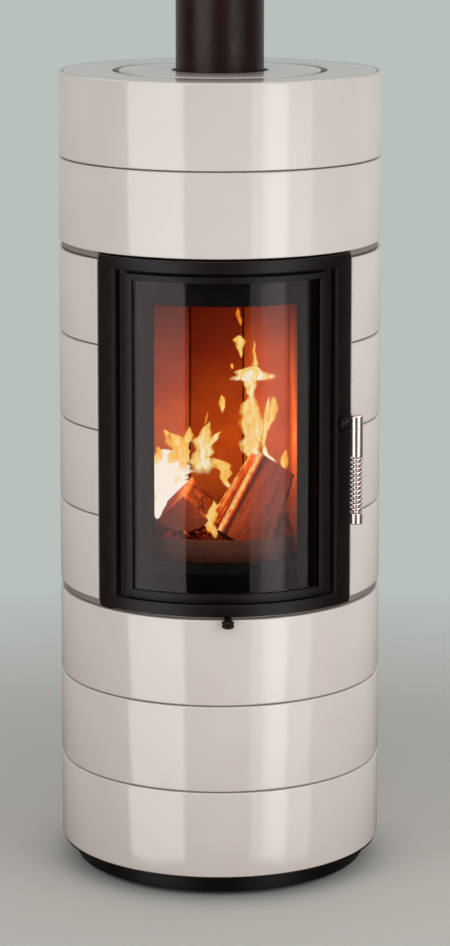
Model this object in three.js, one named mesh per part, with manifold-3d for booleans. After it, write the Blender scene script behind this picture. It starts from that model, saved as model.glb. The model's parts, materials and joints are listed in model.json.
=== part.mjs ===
// Round wood stove clad in glazed ceramic rings, with a curved glass door.
// Millimetres, +Z up. The origin is on the floor, on the stove's vertical axis. The door faces -Y.
// Azimuths are degrees about +Z, from the front (-Y) towards the stove's left hand side as seen (+X).
import * as THREE from 'three';
import { mergeVertices } from 'three/addons/utils/BufferGeometryUtils.js';
import Module from 'manifold-3d';

const wasm = await Module();
wasm.setup();

// ---------------------------------------------------------------- driving dimensions
// Everything round is drawn on one grid of facets, so that concentric pieces nest.
const FACETS = 40;
const ROUND_FACETS = 24;
const SMALL_FACETS = 12;
const FULL_TURN = 360;
const CUT = 1;                   // cutters run this far past what they cut

// clearances
const SEAT = 0.3;                // between a piece and what it stands on
const RUNNING = 0.4;             // between a piece that turns and what carries it

// ceramic cladding
const BODY_R = 275;              // outer radius of the cladding
const WALL = 28;                 // thickness of the ceramic
const EDGE = 3;                  // bevel on the outer edges of the ceramic
const JOINT = 2.5;               // open joint that shows between two courses
const LIP_W = 12;                // width of the inner lip that carries the next course
const LOWER_PITCH = 147.5;       // height of a course below the door, with its joint
const TILE_PITCH = 144.5;        // height of a course beside the door, with its joint
const UPPER_PITCH = 144;         // height of a course above the door, with its joint
const LOWER_COURSES = 3;
const TILE_COURSES = 4;
const REAR_EDGE = 150;           // azimuth where the open courses stop at the rear panel

// plinth and pedestal
const BASE_TOP = 41;             // top of the base plate above the floor
const BASE_T = 4;
const BASE_INSET = 2.5;          // base plate's edge inside the ceramic's face
const SKIRT_INSET = 23.5;        // recessed plinth skirt inside the base plate's edge
const SKIRT_T = 3;
const SKIRT_LIFT = 8;            // skirt's lower edge above the floor
const COLUMN_IN = 35;            // corners of the four angle columns inside the ceramic's bore
const COLUMN_LEG = 36;
const COLUMN_T = 4;
const FOOT_IN = 32;              // feet inboard of the columns' corners
const FOOT_R = 20;
const FOOT_PAD = 8;
const FOOT_BEVEL = 2;
const FOOT_SHOULDER = 4;
const STEM_R = 6;
const STEM_PROUD = 2;            // top of the foot's stem above the base plate

// carrier plates, seen as recessed bands above and below the door level
const CARRIER_INSET = 5;         // carriers' edge inside the ceramic's face
const LOWER_BAND = 11;
const UPPER_BAND = 10;
const CARRIER_RECESS = 9;        // the carriers are cut back to this behind the door's back
const CARRIER_W = 80;            // width of the upper carrier
const CARRIER_CUT = 51;          // azimuth of the cut behind the door, each side
const CARRIER_RIM_IN = 1;        // lower carrier's rim inside the ceramic's bore
const AIR_SLOTS = [80, 115, 245, 280];
const AIR_SLOT_HALF = 14;        // half length of a convection slot, degrees
const AIR_SLOT_W = 30;
const AIR_SLOT_IN = 13;          // convection slots inside the ceramic's bore

// door
const DOOR_EDGE = 49.9;          // azimuth of the door's edges
const TILE_EDGE = 50.5;          // azimuth where the side tiles begin
const DOOR_LIFT = 2.7;           // door's lower edge above the band's lower edge
const DOOR_DROP = 3.5;           // door's upper edge below the upper course
const DOOR_T = 25;
const DOOR_CORNER = 5;
const RAIL = 20.5;               // visible height of the top and bottom rails
const POCKET_EDGE = 42.1;        // azimuth where the stiles step back
const POCKET_DEPTH = 13;
const LEAF_EDGE = 39.5;          // azimuth of the glass frame's outer edge
const LEAF_INNER = 35;           // azimuth of its inner edge
const LEAF_GROOVE = 6;           // shadow groove above and below the glass frame
const LEAF_H = 10.5;             // visible height of its top and bottom runs
const LEAF_T = 3;
const WINDOW_MARGIN = 1;         // the door's own opening is this much larger
const GLASS_T = 4;
const GLASS_LAP = 6;             // glass behind the glass frame, above and below
const GLASS_EDGE = 38.5;
const TAPE_T = 1.4;              // flat seal behind the glass
const TAPE_SPAN = 2;             // width of its side runs, degrees
const ROPE_W = 8;                // door rope, height of its top and bottom runs
const ROPE_EDGE = 40.5;          // azimuth of the rope's outer edge
const ROPE_SPAN = 2.2;           // width of its side runs, degrees
const ROPE_T = 3.7;

// hinge, at the door's left edge
const PIVOT_IN = 15;             // pivot inboard of the door's edge
const PIVOT_DEPTH = 6;           // pivot behind the door's face
const PIN_R = 3.5;
const PIN_L = 20;
const BRACKET_T = 2.3;
const BRACKET_HALF = 2.4;        // half width of a hinge bracket, degrees
const BRACKET_SLACK = 0.3;       // clearance in its seat each side, degrees
const BRACKET_L = 59;
const BRACKET_IN = 2;            // brackets' edge inside the ceramic's face

// handle and latch
const HANDLE_AZ = 45.6;
const HANDLE_Z = 793;            // height of the spindle
const GRIP_OUT = 29;             // grip's axis in front of the door's face
const GRIP_R = 10.5;
const GRIP_ABOVE = 18.5;         // sleeve above the spindle
const SLEEVE_L = 69;
const SPRING_L = 96;
const CAP_L = 18;
const CAP_BEVEL = 2;
const CORE_R = 5.5;
const WIRE_R = 2;
const COIL_R = 8.6;
const COIL_TURNS = 12;
const COIL_STEPS = 8;
const COIL_SIDES = 5;
const SPINDLE_R = 5;
const SPINDLE_SHORT = 2;         // spindle's end before the grip's axis
const SOCKET_LEAD = 2;           // socket's cutter runs this far out of the grip
const BOSS_R = 11;
const BOSS_T = 6;
const TONGUE_T = 4;
const TONGUE_W = 10;
const TONGUE_L = 26;
const tongueRIM = 3;            // metal around the spindle's bore
const TONGUE_BEVEL = 3;
const TONGUE_GAP = 0.5;          // between the latch tongue and the leaf that holds it
const KEEPER_T = 2.3;
const KEEPER_H = 16;
const KEEPER_TO = 46.6;          // azimuth of the leaf's free end
const KEEPER_LEG = 30;           // length of its leg along the firebox wall

// firebox
const LATCH_ROOM = 18.5;         // between the firebox's side and the middle of the latch tongue
const BOX_REAR_GAP = 100;
const STEEL = 3;
const FLANGE_T = 4;
const FLANGE_EDGE = 40.8;
const MOUTH_EDGE = 29.4;
const MOUTH_RISE = 7.4;          // mouth's lower edge above the hearth plate
const SILL = 8.2;                // height of the flange below the ash pan's opening
const PAN_OPENING_GAP = 5;       // that opening's upper edge above the pan
const HEAD = 72.5;               // height of the flange above the mouth
const PAN_HEADROOM = 9.2;        // ledges above the ash pan
const LEDGE_W = 10;
const LEDGE_H = 8;
const LEDGE_FRONT = -120;
const BOX_TOP_GAP = 1;           // top plate below the flange's upper edge
const HEARTH_T = 6;
const GRATE_X = 66;
const GRATE_Y = 75;
const GRATE_LAP = 8;
const GRATE_T = 8;
const GRATE_BARS = 8;
const GRATE_RIM = 6;
const SLOT_W = 8;
const LINING_T = 25;
const LINING_TOP = 975;
const LINING_SETBACK = 38;       // side linings' front edge behind the firebox's front
const MID_PANEL = 94;            // width of the middle rear lining panel
const BAFFLE_FRONT = -45;
const RETAINER_IN = 32.4;        // log retainer behind the firebox's front
const RETAINER_T = 4;
const RETAINER_EDGE = 33;
const RETAINER_H = 38;

// ash pan
const PAN_HALF = 110;
const PAN_INSET = 30;            // pan's front corners behind the firebox's front
const PAN_BACK = 125;
const PAN_H = 43;
const PAN_T = 2;
const PAN_GRIP_W = 80;
const PAN_GRIP_D = 14;
const RAIL_X = 92;
const RAIL_W = 8;
const RAIL_H = 9;
const RAIL_FRONT = -140;

// fuel: split logs, drawn as sectors of a trunk from its heart to its bark, with angles in degrees.
// Each one's middle is inset from the lining on its side, and each is turned about X, Y and then Z.
const LOG_STEPS = 7;             // facets of the bark
const LOG_DROP = 220;            // each log is lowered from this height onto what lies under it
const SETTLE_STEPS = 400;
const SETTLED = 0.01;
const LOGS = [
  {
    name: 'log_rear', radius: 30, sector: [0, 180], length: 135,
    turn: [-10, 36, 8], side: 1, inset: 86, y: -45,
  },
  {
    name: 'log_front', radius: 38, sector: [0, 180], length: 150,
    turn: [-12, 34, 14], side: 1, inset: 69, y: -120,
  },
  {
    name: 'log_top', radius: 62, sector: [225, 315], length: 185,
    turn: [88, 0, -7], side: -1, inset: 69, y: -45,
  },
];

// flue and top
const FLUE_R = 75;               // outer radius of the flue pipe
const FLUE_T = 2;
const FLUE_TOP = 1620;
const FLUE_LAP = 55;             // length of pipe over the collar
const COLLAR_T = 3;
const COLLAR_H = 80;
const COLLAR_FLANGE = 22;
const COLLAR_FLANGE_T = 4;
const TOP_REBATE = 7;            // width of the top course's rim around the inset plate
const TOP_PLATE_T = 22;
const GROOVE_R = 183;            // outer radius of the convection groove in the top
const GROOVE_W = 11;
const PIPE_HOLE = 7;             // open gap around the pipe in the centre plate
const PLATE_GAP = 1.3;           // between the ring plate and the rim
const SPIDER_T = 3;
const SPIDER_W = 20;             // width of the spider's ring, under the centre plate's edge
const SPIDER_ARMS = 4;
const SPIDER_ARM_W = 24;
const SPIDER_LAP = 6;            // arms run this far into the spider's ring

// rear panel and air supply
const PANEL_INSET = 2.7;         // rear panel inside the ceramic's face
const PANEL_T = 2;
const PANEL_GAP = 0.4;           // degrees between the panel and the ceramic
const VENT_W = 64;
const VENT_H = 7;
const VENT_PITCH = 18;
const VENT_MARGIN = 60;          // vents from the panel's lower and upper edges
const VENT_BRIDGE = 24;          // panel between two vents side by side
const VENTS = 4;
const AIR_Z = 410;               // height of the air spigot's axis
const AIR_R = 50;                // outer radius of the air spigot
const AIR_T = 2;
const SPIGOT_PROUD = 21;         // rear end of the spigot behind the ceramic's face
const AIR_BOX_R = 86;
const AIR_BOX_LOW = 345;
const AIR_DECK_T = 3;
const PORT_R = 52;
const PORT_HOLE = 15;
const PORTS = 3;
const SHUTTER_GAP = 2;           // between the shutter disc and its rim
const LEVER_SLACK = 5;           // lever's slot past its travel, degrees
const LEVER_T = 2;
const LEVER_W = 12;
const LEVER_SWEEP = 12;          // how far the lever turns each way, degrees
const KNOB_R = 10.5;
const KNOB_H = 12;
const KNOB_BEVEL = 1.5;
const KNOB_STANDOFF = 2;         // between the knob and the ceramic
const AIR_PIN_R = 5;

// ---------------------------------------------------------------- derived heights and radii
const ringZ = (n) => BASE_TOP + SEAT + n * LOWER_PITCH;
const bandZ = ringZ(LOWER_COURSES);
const tileZ = (n) => bandZ + LOWER_BAND + n * TILE_PITCH;
const upperBandZ = tileZ(TILE_COURSES);
const upperZ = (n) => upperBandZ + UPPER_BAND + n * UPPER_PITCH;
const topZ = upperZ(2) - JOINT / 2;
const innerR = BODY_R - WALL;
const baseR = BODY_R - BASE_INSET;
const skirtR = baseR - SKIRT_INSET;
const columnR = innerR - COLUMN_IN;
const footCircle = columnR - FOOT_IN;
const carrierR = BODY_R - CARRIER_INSET;
const panelR = BODY_R - PANEL_INSET;
const airEnd = BODY_R + SPIGOT_PROUD;
const handleR = BODY_R + GRIP_OUT;
const leverZ = bandZ + RUNNING / 2;
const carrierLow = leverZ + LEVER_T + RUNNING;
const carrierTop = bandZ + LOWER_BAND - SEAT;
const upperCarrierTop = upperBandZ + UPPER_BAND - SEAT;
const doorLow = bandZ + DOOR_LIFT;
const doorHigh = upperZ(0) - DOOR_DROP;
const doorBackR = BODY_R - DOOR_T;
const carrierFrontR = doorBackR - CARRIER_RECESS;
const pocketR = BODY_R - POCKET_DEPTH;
const tapeR = pocketR + SEAT + TAPE_T;
const glassR = tapeR + SEAT + GLASS_T;
const leafR = glassR + SEAT + LEAF_T;
const leafLow = doorLow + RAIL + LEAF_GROOVE;
const leafHigh = doorHigh - RAIL - LEAF_GROOVE;
const glassLow = leafLow + LEAF_H - GLASS_LAP;
const glassHigh = leafHigh - LEAF_H + GLASS_LAP;
const pivotR = BODY_R - PIVOT_DEPTH;
const pivotAz = -DOOR_EDGE + THREE.MathUtils.radToDeg(PIVOT_IN / pivotR);
const bracketHigh = upperCarrierTop;
const bracketLow = bracketHigh - BRACKET_T;
const flangeLow = carrierTop + SEAT;
const flangeHigh = upperBandZ - SEAT;
const flangeR = doorBackR - SEAT - ROPE_T - SEAT;
const flangeBackR = flangeR - FLANGE_T;
const keeperR = flangeBackR - SEAT;
const tongueR = keeperR - KEEPER_T - TONGUE_GAP;
const panFront = PAN_INSET - Math.sqrt(flangeBackR ** 2 - PAN_HALF ** 2);
const mouthHigh = flangeHigh - HEAD;
const shellR = flangeBackR - SEAT;
const boxHalf = tongueR * Math.sin(THREE.MathUtils.degToRad(HANDLE_AZ)) - LATCH_ROOM;
const boxBack = innerR - BOX_REAR_GAP;
const liningEdge = boxHalf - 2 * SEAT;
const liningX = liningEdge - LINING_T;
const liningFront = LINING_SETBACK - Math.sqrt(shellR ** 2 - liningEdge ** 2);
const retainerR = shellR - RETAINER_IN;
const panLow = carrierTop + RAIL_H + SEAT;
const panTop = panLow + PAN_H;
const ledgeZ = panTop + PAN_HEADROOM;
const hearthTop = ledgeZ + SEAT + HEARTH_T;
const mouthLow = hearthTop + MOUTH_RISE;
const grateTop = hearthTop + SEAT + GRATE_T;
const boxTopLow = flangeHigh - STEEL - BOX_TOP_GAP;
const fluePipeInner = FLUE_R - FLUE_T;
const collarR = fluePipeInner - SEAT;
const collarLow = flangeHigh + SEAT;
const plateTop = topZ;
const plateLow = plateTop - TOP_PLATE_T;
const spiderLow = plateLow - SEAT - SPIDER_T;
const knobR = BODY_R + KNOB_STANDOFF + KNOB_R;
const plateEdgeR = BODY_R - TOP_REBATE - PLATE_GAP;

// ---------------------------------------------------------------- materials
function finish(color, roughness, metalness) {
  return new THREE.MeshStandardMaterial({ color, roughness, metalness });
}
const GLAZE = finish(0xd8cec8, 0.15, 0);
const BLACK_STEEL = finish(0x231a18, 0.5, 0.6);
const GREY_STEEL = finish(0x857a73, 0.55, 0.4);
const BRIGHT_STEEL = finish(0xb9b6b2, 0.3, 1);
const CAST_IRON = finish(0x2c2a29, 0.7, 0.7);
const REFRACTORY = finish(0xb98a5a, 0.9, 0);
const ROPE = finish(0x4a4846, 0.95, 0);
const CLEAR = finish(0x1a1614, 0.05, 0);
const BARK = finish(0x5a3f2a, 0.9, 0);

// ---------------------------------------------------------------- solids
function solid(geometry) {
  const bare = geometry.index ? geometry.toNonIndexed() : geometry.clone();
  bare.deleteAttribute('normal');
  bare.deleteAttribute('uv');
  const merged = mergeVertices(bare, 1e-4);
  const mesh = new wasm.Mesh({
    numProp: 3,
    vertProperties: new Float32Array(merged.attributes.position.array),
    triVerts: new Uint32Array(merged.index.array),
  });
  return new wasm.Manifold(mesh);
}

function toGeometry(manifold) {
  const mesh = manifold.getMesh();
  const geometry = new THREE.BufferGeometry();
  geometry.setAttribute('position', new THREE.BufferAttribute(mesh.vertProperties, 3));
  geometry.setIndex(new THREE.BufferAttribute(mesh.triVerts, 1));
  geometry.computeVertexNormals();
  return geometry;
}

const polar = (az, r) => [
  r * Math.sin(THREE.MathUtils.degToRad(az)),
  -r * Math.cos(THREE.MathUtils.degToRad(az)),
];

// Turns a closed outline of [radius, height] points about the vertical axis.
function revolve(outline, facets = FACETS) {
  const points = outline.map(([r, z]) => new THREE.Vector2(r, z));
  const wayRound = THREE.ShapeUtils.isClockWise(points) ? points.reverse() : points;
  const geometry = new THREE.LatheGeometry([...wayRound, wayRound[0]], facets);
  return solid(geometry.rotateX(Math.PI / 2));
}

const tube = (rIn, rOut, low, high, facets = FACETS) =>
  revolve([[rIn, low], [rOut, low], [rOut, high], [rIn, high]], facets);

function disc(r, low, high, facets = FACETS) {
  const geometry = new THREE.CylinderGeometry(r, r, high - low, facets);
  return solid(geometry.rotateX(Math.PI / 2).translate(0, 0, (low + high) / 2));
}

function block(xs, ys, zs) {
  const size = [xs, ys, zs].map(([low, high]) => high - low);
  const middle = [xs, ys, zs].map(([low, high]) => (low + high) / 2);
  return solid(new THREE.BoxGeometry(...size).translate(...middle));
}

// Extrudes a shape drawn in X and Y from one height to another.
function prism(shape, low, high) {
  const options = { depth: high - low, bevelEnabled: false, curveSegments: 4 };
  return solid(new THREE.ExtrudeGeometry(shape, options).translate(0, 0, low));
}

// A wedge of the whole height between two azimuths, to cut arcs out of rings.
function wedge(from, to) {
  const reach = 2 * BODY_R;
  const steps = Math.ceil((to - from) / 30);
  const shape = new THREE.Shape().moveTo(0, 0);
  for (let i = 0; i <= steps; i += 1) {
    shape.lineTo(...polar(from + ((to - from) * i) / steps, reach));
  }
  return prism(shape, -CUT, FLUE_TOP + CUT);
}

const arc = (ring, from, to) => ring.intersect(wedge(from, to));

// A curved frame: an arc of tube with a smaller opening through it.
function curvedFrame(radii, edge, heights, openEdge, openHeights) {
  const whole = arc(tube(...radii, ...heights), -edge, edge);
  const opening = arc(tube(radii[0] - CUT, radii[1] + CUT, ...openHeights), -openEdge, openEdge);
  return whole.subtract(opening);
}

// ---------------------------------------------------------------- assembly
const stove = new THREE.Group();

function add(name, body, material, parent = stove) {
  const mesh = new THREE.Mesh(toGeometry(body), material);
  mesh.name = name;
  parent.add(mesh);
}

// ---------------------------------------------------------------- ceramic courses
// One course: bevelled outer edges, and an inner lip that carries the next course clear of the joint.
function courseProfile(low, pitch) {
  const shoulder = low + pitch - JOINT;
  const lipTop = low + pitch - SEAT;
  return [
    [innerR, low],
    [BODY_R - EDGE, low],
    [BODY_R, low + EDGE],
    [BODY_R, shoulder - EDGE],
    [BODY_R - EDGE, shoulder],
    [innerR + LIP_W, shoulder],
    [innerR + LIP_W, lipTop],
    [innerR, lipTop],
  ];
}

function addLowerCourses() {
  for (let n = 0; n < LOWER_COURSES; n += 1) {
    const ring = revolve(courseProfile(ringZ(n), LOWER_PITCH));
    add(`lower_ring_${n + 1}`, arc(ring, -REAR_EDGE, REAR_EDGE), GLAZE);
  }
}

function addSideTiles() {
  for (let n = 0; n < TILE_COURSES; n += 1) {
    const ring = revolve(courseProfile(tileZ(n), TILE_PITCH));
    add(`side_tile_left_${n + 1}`, arc(ring, -REAR_EDGE, -TILE_EDGE), GLAZE);
    add(`side_tile_right_${n + 1}`, arc(ring, TILE_EDGE, REAR_EDGE), GLAZE);
  }
}

function addUpperCourses() {
  add('upper_ring_1', revolve(courseProfile(upperZ(0), UPPER_PITCH)), GLAZE);
  const rebateR = BODY_R - TOP_REBATE;
  const top = [
    [innerR, upperZ(1)],
    [BODY_R - EDGE, upperZ(1)],
    [BODY_R, upperZ(1) + EDGE],
    [BODY_R, topZ - EDGE],
    [BODY_R - EDGE, topZ],
    [rebateR, topZ],
    [rebateR, spiderLow - SEAT],
    [innerR, spiderLow - SEAT],
  ];
  add('upper_ring_2', revolve(top), GLAZE);
}

// The inset top: a ring plate and a centre plate on a steel spider, with an open groove between.
function addTop() {
  const bevel = EDGE / 2;
  const slab = (rIn, rOut) => revolve([
    [rIn, plateLow], [rOut, plateLow], [rOut, plateTop - bevel],
    [rOut - bevel, plateTop], [rIn + bevel, plateTop], [rIn, plateTop - bevel],
  ]);
  add('top_ring_plate', slab(GROOVE_R, plateEdgeR), GLAZE);
  add('centre_plate', slab(FLUE_R + PIPE_HOLE, GROOVE_R - GROOVE_W), GLAZE);
  const spiderHigh = spiderLow + SPIDER_T;
  const ringOuter = GROOVE_R - GROOVE_W;
  let spider = tube(ringOuter - SPIDER_W, ringOuter, spiderLow, spiderHigh);
  const armXs = [-SPIDER_ARM_W / 2, SPIDER_ARM_W / 2];
  const armYs = [ringOuter - SPIDER_LAP, (innerR + BODY_R - TOP_REBATE) / 2];
  const arm = block(armXs, armYs, [spiderLow, spiderHigh]);
  for (let n = 0; n < SPIDER_ARMS; n += 1) {
    spider = spider.add(arm.rotate([0, 0, 45 + (FULL_TURN * n) / SPIDER_ARMS]));
  }
  add('top_spider', spider, BLACK_STEEL);
}

// ---------------------------------------------------------------- pedestal, feet and carriers
function angleColumn(az) {
  const outer = COLUMN_LEG;
  const shape = new THREE.Shape();
  shape.moveTo(0, 0).lineTo(outer, 0).lineTo(outer, COLUMN_T).lineTo(COLUMN_T, COLUMN_T);
  shape.lineTo(COLUMN_T, outer).lineTo(0, outer).lineTo(0, 0);
  const body = prism(shape, BASE_TOP - CUT, carrierLow - SEAT);
  const turned = body.rotate([0, 0, az + 45]);
  return turned.translate([...polar(az, columnR), 0]);
}

const CORNERS = { front_right: 45, rear_right: 135, rear_left: 225, front_left: 315 };

function addPedestal() {
  let body = disc(baseR, BASE_TOP - BASE_T, BASE_TOP);
  body = body.add(tube(skirtR - SKIRT_T, skirtR, SKIRT_LIFT, BASE_TOP - BASE_T / 2));
  for (const az of Object.values(CORNERS)) {
    body = body.add(angleColumn(az));
    const hole = disc(STEM_R + SEAT, BASE_TOP - BASE_T - CUT, BASE_TOP + CUT, SMALL_FACETS);
    body = body.subtract(hole.translate([...polar(az, footCircle), 0]));
  }
  add('pedestal', body, BLACK_STEEL);
}

function addFeet() {
  const stemTop = BASE_TOP + STEM_PROUD;
  const outline = [
    [0, 0], [FOOT_R - FOOT_BEVEL, 0], [FOOT_R, FOOT_BEVEL],
    [FOOT_R, FOOT_PAD - FOOT_BEVEL], [FOOT_R - FOOT_SHOULDER, FOOT_PAD],
    [STEM_R, FOOT_PAD], [STEM_R, stemTop], [0, stemTop],
  ];
  for (const [corner, az] of Object.entries(CORNERS)) {
    const foot = solidOfRevolution(outline, SMALL_FACETS);
    add(`foot_${corner}`, foot.translate([...polar(az, footCircle), 0]), BLACK_STEEL);
  }
}

// Turns an outline that starts and ends on the axis.
function solidOfRevolution(outline, facets) {
  const points = outline.map(([r, z]) => new THREE.Vector2(r, z));
  return solid(new THREE.LatheGeometry(points, facets).rotateX(Math.PI / 2));
}

function airSlots(low, high) {
  let slots = null;
  const slotR = innerR - AIR_SLOT_IN;
  for (const az of AIR_SLOTS) {
    const ring = tube(slotR - AIR_SLOT_W, slotR, low, high);
    const slot = arc(ring, az - AIR_SLOT_HALF, az + AIR_SLOT_HALF);
    slots = slots ? slots.add(slot) : slot;
  }
  return slots;
}

function airPorts(low, high) {
  let ports = null;
  for (let n = 0; n < PORTS; n += 1) {
    const az = (FULL_TURN * n) / PORTS + FULL_TURN / 2;
    const port = disc(PORT_HOLE, low, high, SMALL_FACETS).translate([...polar(az, PORT_R), 0]);
    ports = ports ? ports.add(port) : port;
  }
  return ports;
}

function addCarriers() {
  const behindDoor = (body, low, high) => {
    const cut = arc(tube(carrierFrontR, carrierR + CUT, low, high), -CARRIER_CUT, CARRIER_CUT);
    return body.subtract(cut);
  };
  const through = [bandZ - CUT, carrierTop + CUT];
  let lower = disc(carrierR, carrierLow, carrierTop);
  const rim = tube(innerR + CARRIER_RIM_IN, carrierR, bandZ, carrierLow + CUT);
  lower = lower.add(arc(rim, CARRIER_CUT, FULL_TURN - CARRIER_CUT));
  lower = behindDoor(lower, ...through);
  lower = lower.subtract(airSlots(...through));
  lower = lower.subtract(airPorts(...through));
  lower = lower.subtract(disc(AIR_PIN_R + RUNNING, ...through, SMALL_FACETS));
  for (const side of [-1, 1]) {
    const xs = [side * RAIL_X - RAIL_W / 2, side * RAIL_X + RAIL_W / 2];
    const zs = [carrierTop - CUT, carrierTop + RAIL_H];
    lower = lower.add(block(xs, [RAIL_FRONT, PAN_BACK], zs));
  }
  add('lower_carrier', lower, GREY_STEEL);

  const upperInner = carrierR - CARRIER_W;
  let upper = tube(upperInner, carrierR, upperBandZ, upperCarrierTop);
  upper = behindDoor(upper, upperBandZ - CUT, upperCarrierTop + CUT);
  const seat = arc(
    tube(upperInner - CUT, carrierR, bracketLow - SEAT, upperCarrierTop + CUT),
    pivotAz - BRACKET_HALF - BRACKET_SLACK,
    pivotAz + BRACKET_HALF + BRACKET_SLACK,
  );
  add('upper_carrier', upper.subtract(seat), GREY_STEEL);
}

// ---------------------------------------------------------------- rear panel and air supply
function addRearPanel() {
  const from = REAR_EDGE + PANEL_GAP;
  const to = FULL_TURN - REAR_EDGE - PANEL_GAP;
  const high = upperZ(0) - SEAT;
  let panel = arc(tube(panelR - PANEL_T, panelR, BASE_TOP + SEAT, high), from, to);
  const rows = [BASE_TOP + VENT_MARGIN, upperBandZ - VENT_MARGIN - (VENTS - 1) * VENT_PITCH];
  for (const row of rows) {
    for (let n = 0; n < VENTS; n += 1) {
      for (const side of [-1, 1]) {
        const x = (side * (VENT_W + VENT_BRIDGE)) / 2;
        const xs = [x - VENT_W / 2, x + VENT_W / 2];
        const z = row + n * VENT_PITCH;
        panel = panel.subtract(block(xs, [0, BODY_R], [z, z + VENT_H]));
      }
    }
  }
  const hole = disc(AIR_R + SEAT, 0, BODY_R, ROUND_FACETS).rotate([-90, 0, 0]);
  panel = panel.subtract(hole.translate([0, 0, AIR_Z]));
  add('rear_panel', panel, BLACK_STEEL);
}

// A round box under the firebox, fed by the rear spigot, with three ports in its deck.
function addAirBox() {
  const rim = AIR_BOX_R - AIR_T;
  const deckTop = leverZ - RUNNING;
  const rimTop = carrierLow - SEAT;
  let body = disc(AIR_BOX_R, AIR_BOX_LOW, rimTop, ROUND_FACETS);
  const alongY = (r) => disc(r, 0, airEnd, ROUND_FACETS)
    .rotate([-90, 0, 0]).translate([0, 0, AIR_Z]);
  body = body.add(alongY(AIR_R));
  body = body.subtract(disc(rim, AIR_BOX_LOW + AIR_T, deckTop - AIR_DECK_T, ROUND_FACETS));
  body = body.subtract(disc(rim, deckTop, rimTop + CUT, ROUND_FACETS));
  body = body.subtract(alongY(AIR_R - AIR_T).translate([0, CUT, 0]));
  body = body.subtract(airPorts(deckTop - AIR_DECK_T - CUT, deckTop + CUT));
  const slotRing = tube(rim - CUT, AIR_BOX_R + CUT, deckTop, rimTop + CUT, ROUND_FACETS);
  const slot = arc(slotRing, -LEVER_SWEEP - LEVER_SLACK, LEVER_SWEEP + LEVER_SLACK);
  body = body.subtract(slot);
  const pin = disc(AIR_PIN_R, deckTop - CUT, carrierTop - SEAT, SMALL_FACETS);
  add('air_box', body.add(pin), BLACK_STEEL);
}

// The shutter disc turns over the ports, and its lever comes out between the door and the ring.
function addAirControl() {
  const high = leverZ + LEVER_T;
  let shutter = disc(AIR_BOX_R - AIR_T - SHUTTER_GAP, leverZ, high, ROUND_FACETS);
  const lever = block([-LEVER_W / 2, LEVER_W / 2], [-knobR - LEVER_W / 2, 0], [leverZ, high]);
  shutter = shutter.add(lever);
  shutter = shutter.subtract(disc(AIR_PIN_R + RUNNING, leverZ - CUT, high + CUT, SMALL_FACETS));
  shutter = shutter.subtract(airPorts(leverZ - CUT, high + CUT));
  add('air_shutter', shutter, BLACK_STEEL);
  const knobTop = leverZ - SEAT;
  const knobLow = knobTop - KNOB_H;
  const outline = [
    [0, knobLow], [KNOB_R - KNOB_BEVEL, knobLow], [KNOB_R, knobLow + KNOB_BEVEL],
    [KNOB_R, knobTop - KNOB_BEVEL], [KNOB_R - KNOB_BEVEL, knobTop], [0, knobTop],
  ];
  const knob = solidOfRevolution(outline, ROUND_FACETS);
  add('air_knob', knob.translate([0, -knobR, 0]), BLACK_STEEL);
}

// ---------------------------------------------------------------- firebox
function addFirebox() {
  const inside = disc(shellR, 0, FLUE_TOP);
  const outerX = boxHalf + STEEL;
  const wallHigh = boxTopLow - SEAT;
  for (const [side, sign] of [['left', -1], ['right', 1]]) {
    const xs = [sign * boxHalf, sign * outerX].sort((a, b) => a - b);
    const ledgeXs = [sign * (boxHalf - LEDGE_W), sign * (boxHalf + CUT)].sort((a, b) => a - b);
    const wall = block(xs, [-shellR, boxBack - SEAT], [flangeLow, wallHigh]);
    const ledge = block(ledgeXs, [LEDGE_FRONT, boxBack - SEAT], [ledgeZ - LEDGE_H, ledgeZ]);
    add(`firebox_${side}`, wall.add(ledge).intersect(inside), CAST_IRON);
  }
  const back = block([-outerX, outerX], [boxBack, boxBack + STEEL], [flangeLow, wallHigh]);
  add('firebox_back', back, CAST_IRON);
  let top = block([-outerX, outerX], [-shellR, boxBack + STEEL], [boxTopLow, flangeHigh]);
  const smoke = disc(collarR - COLLAR_T, boxTopLow - CUT, flangeHigh + CUT);
  top = top.intersect(inside).subtract(smoke);
  add('firebox_top', top, CAST_IRON);
  const front = curvedFrame(
    [flangeBackR, flangeR], FLANGE_EDGE, [flangeLow, flangeHigh],
    MOUTH_EDGE, [mouthLow, mouthHigh],
  );
  const panZs = [flangeLow + SILL, panTop + PAN_OPENING_GAP];
  const panOpening = arc(tube(flangeBackR - CUT, flangeR + CUT, ...panZs), -MOUTH_EDGE, MOUTH_EDGE);
  add('firebox_front', front.subtract(panOpening), CAST_IRON);
}

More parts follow.
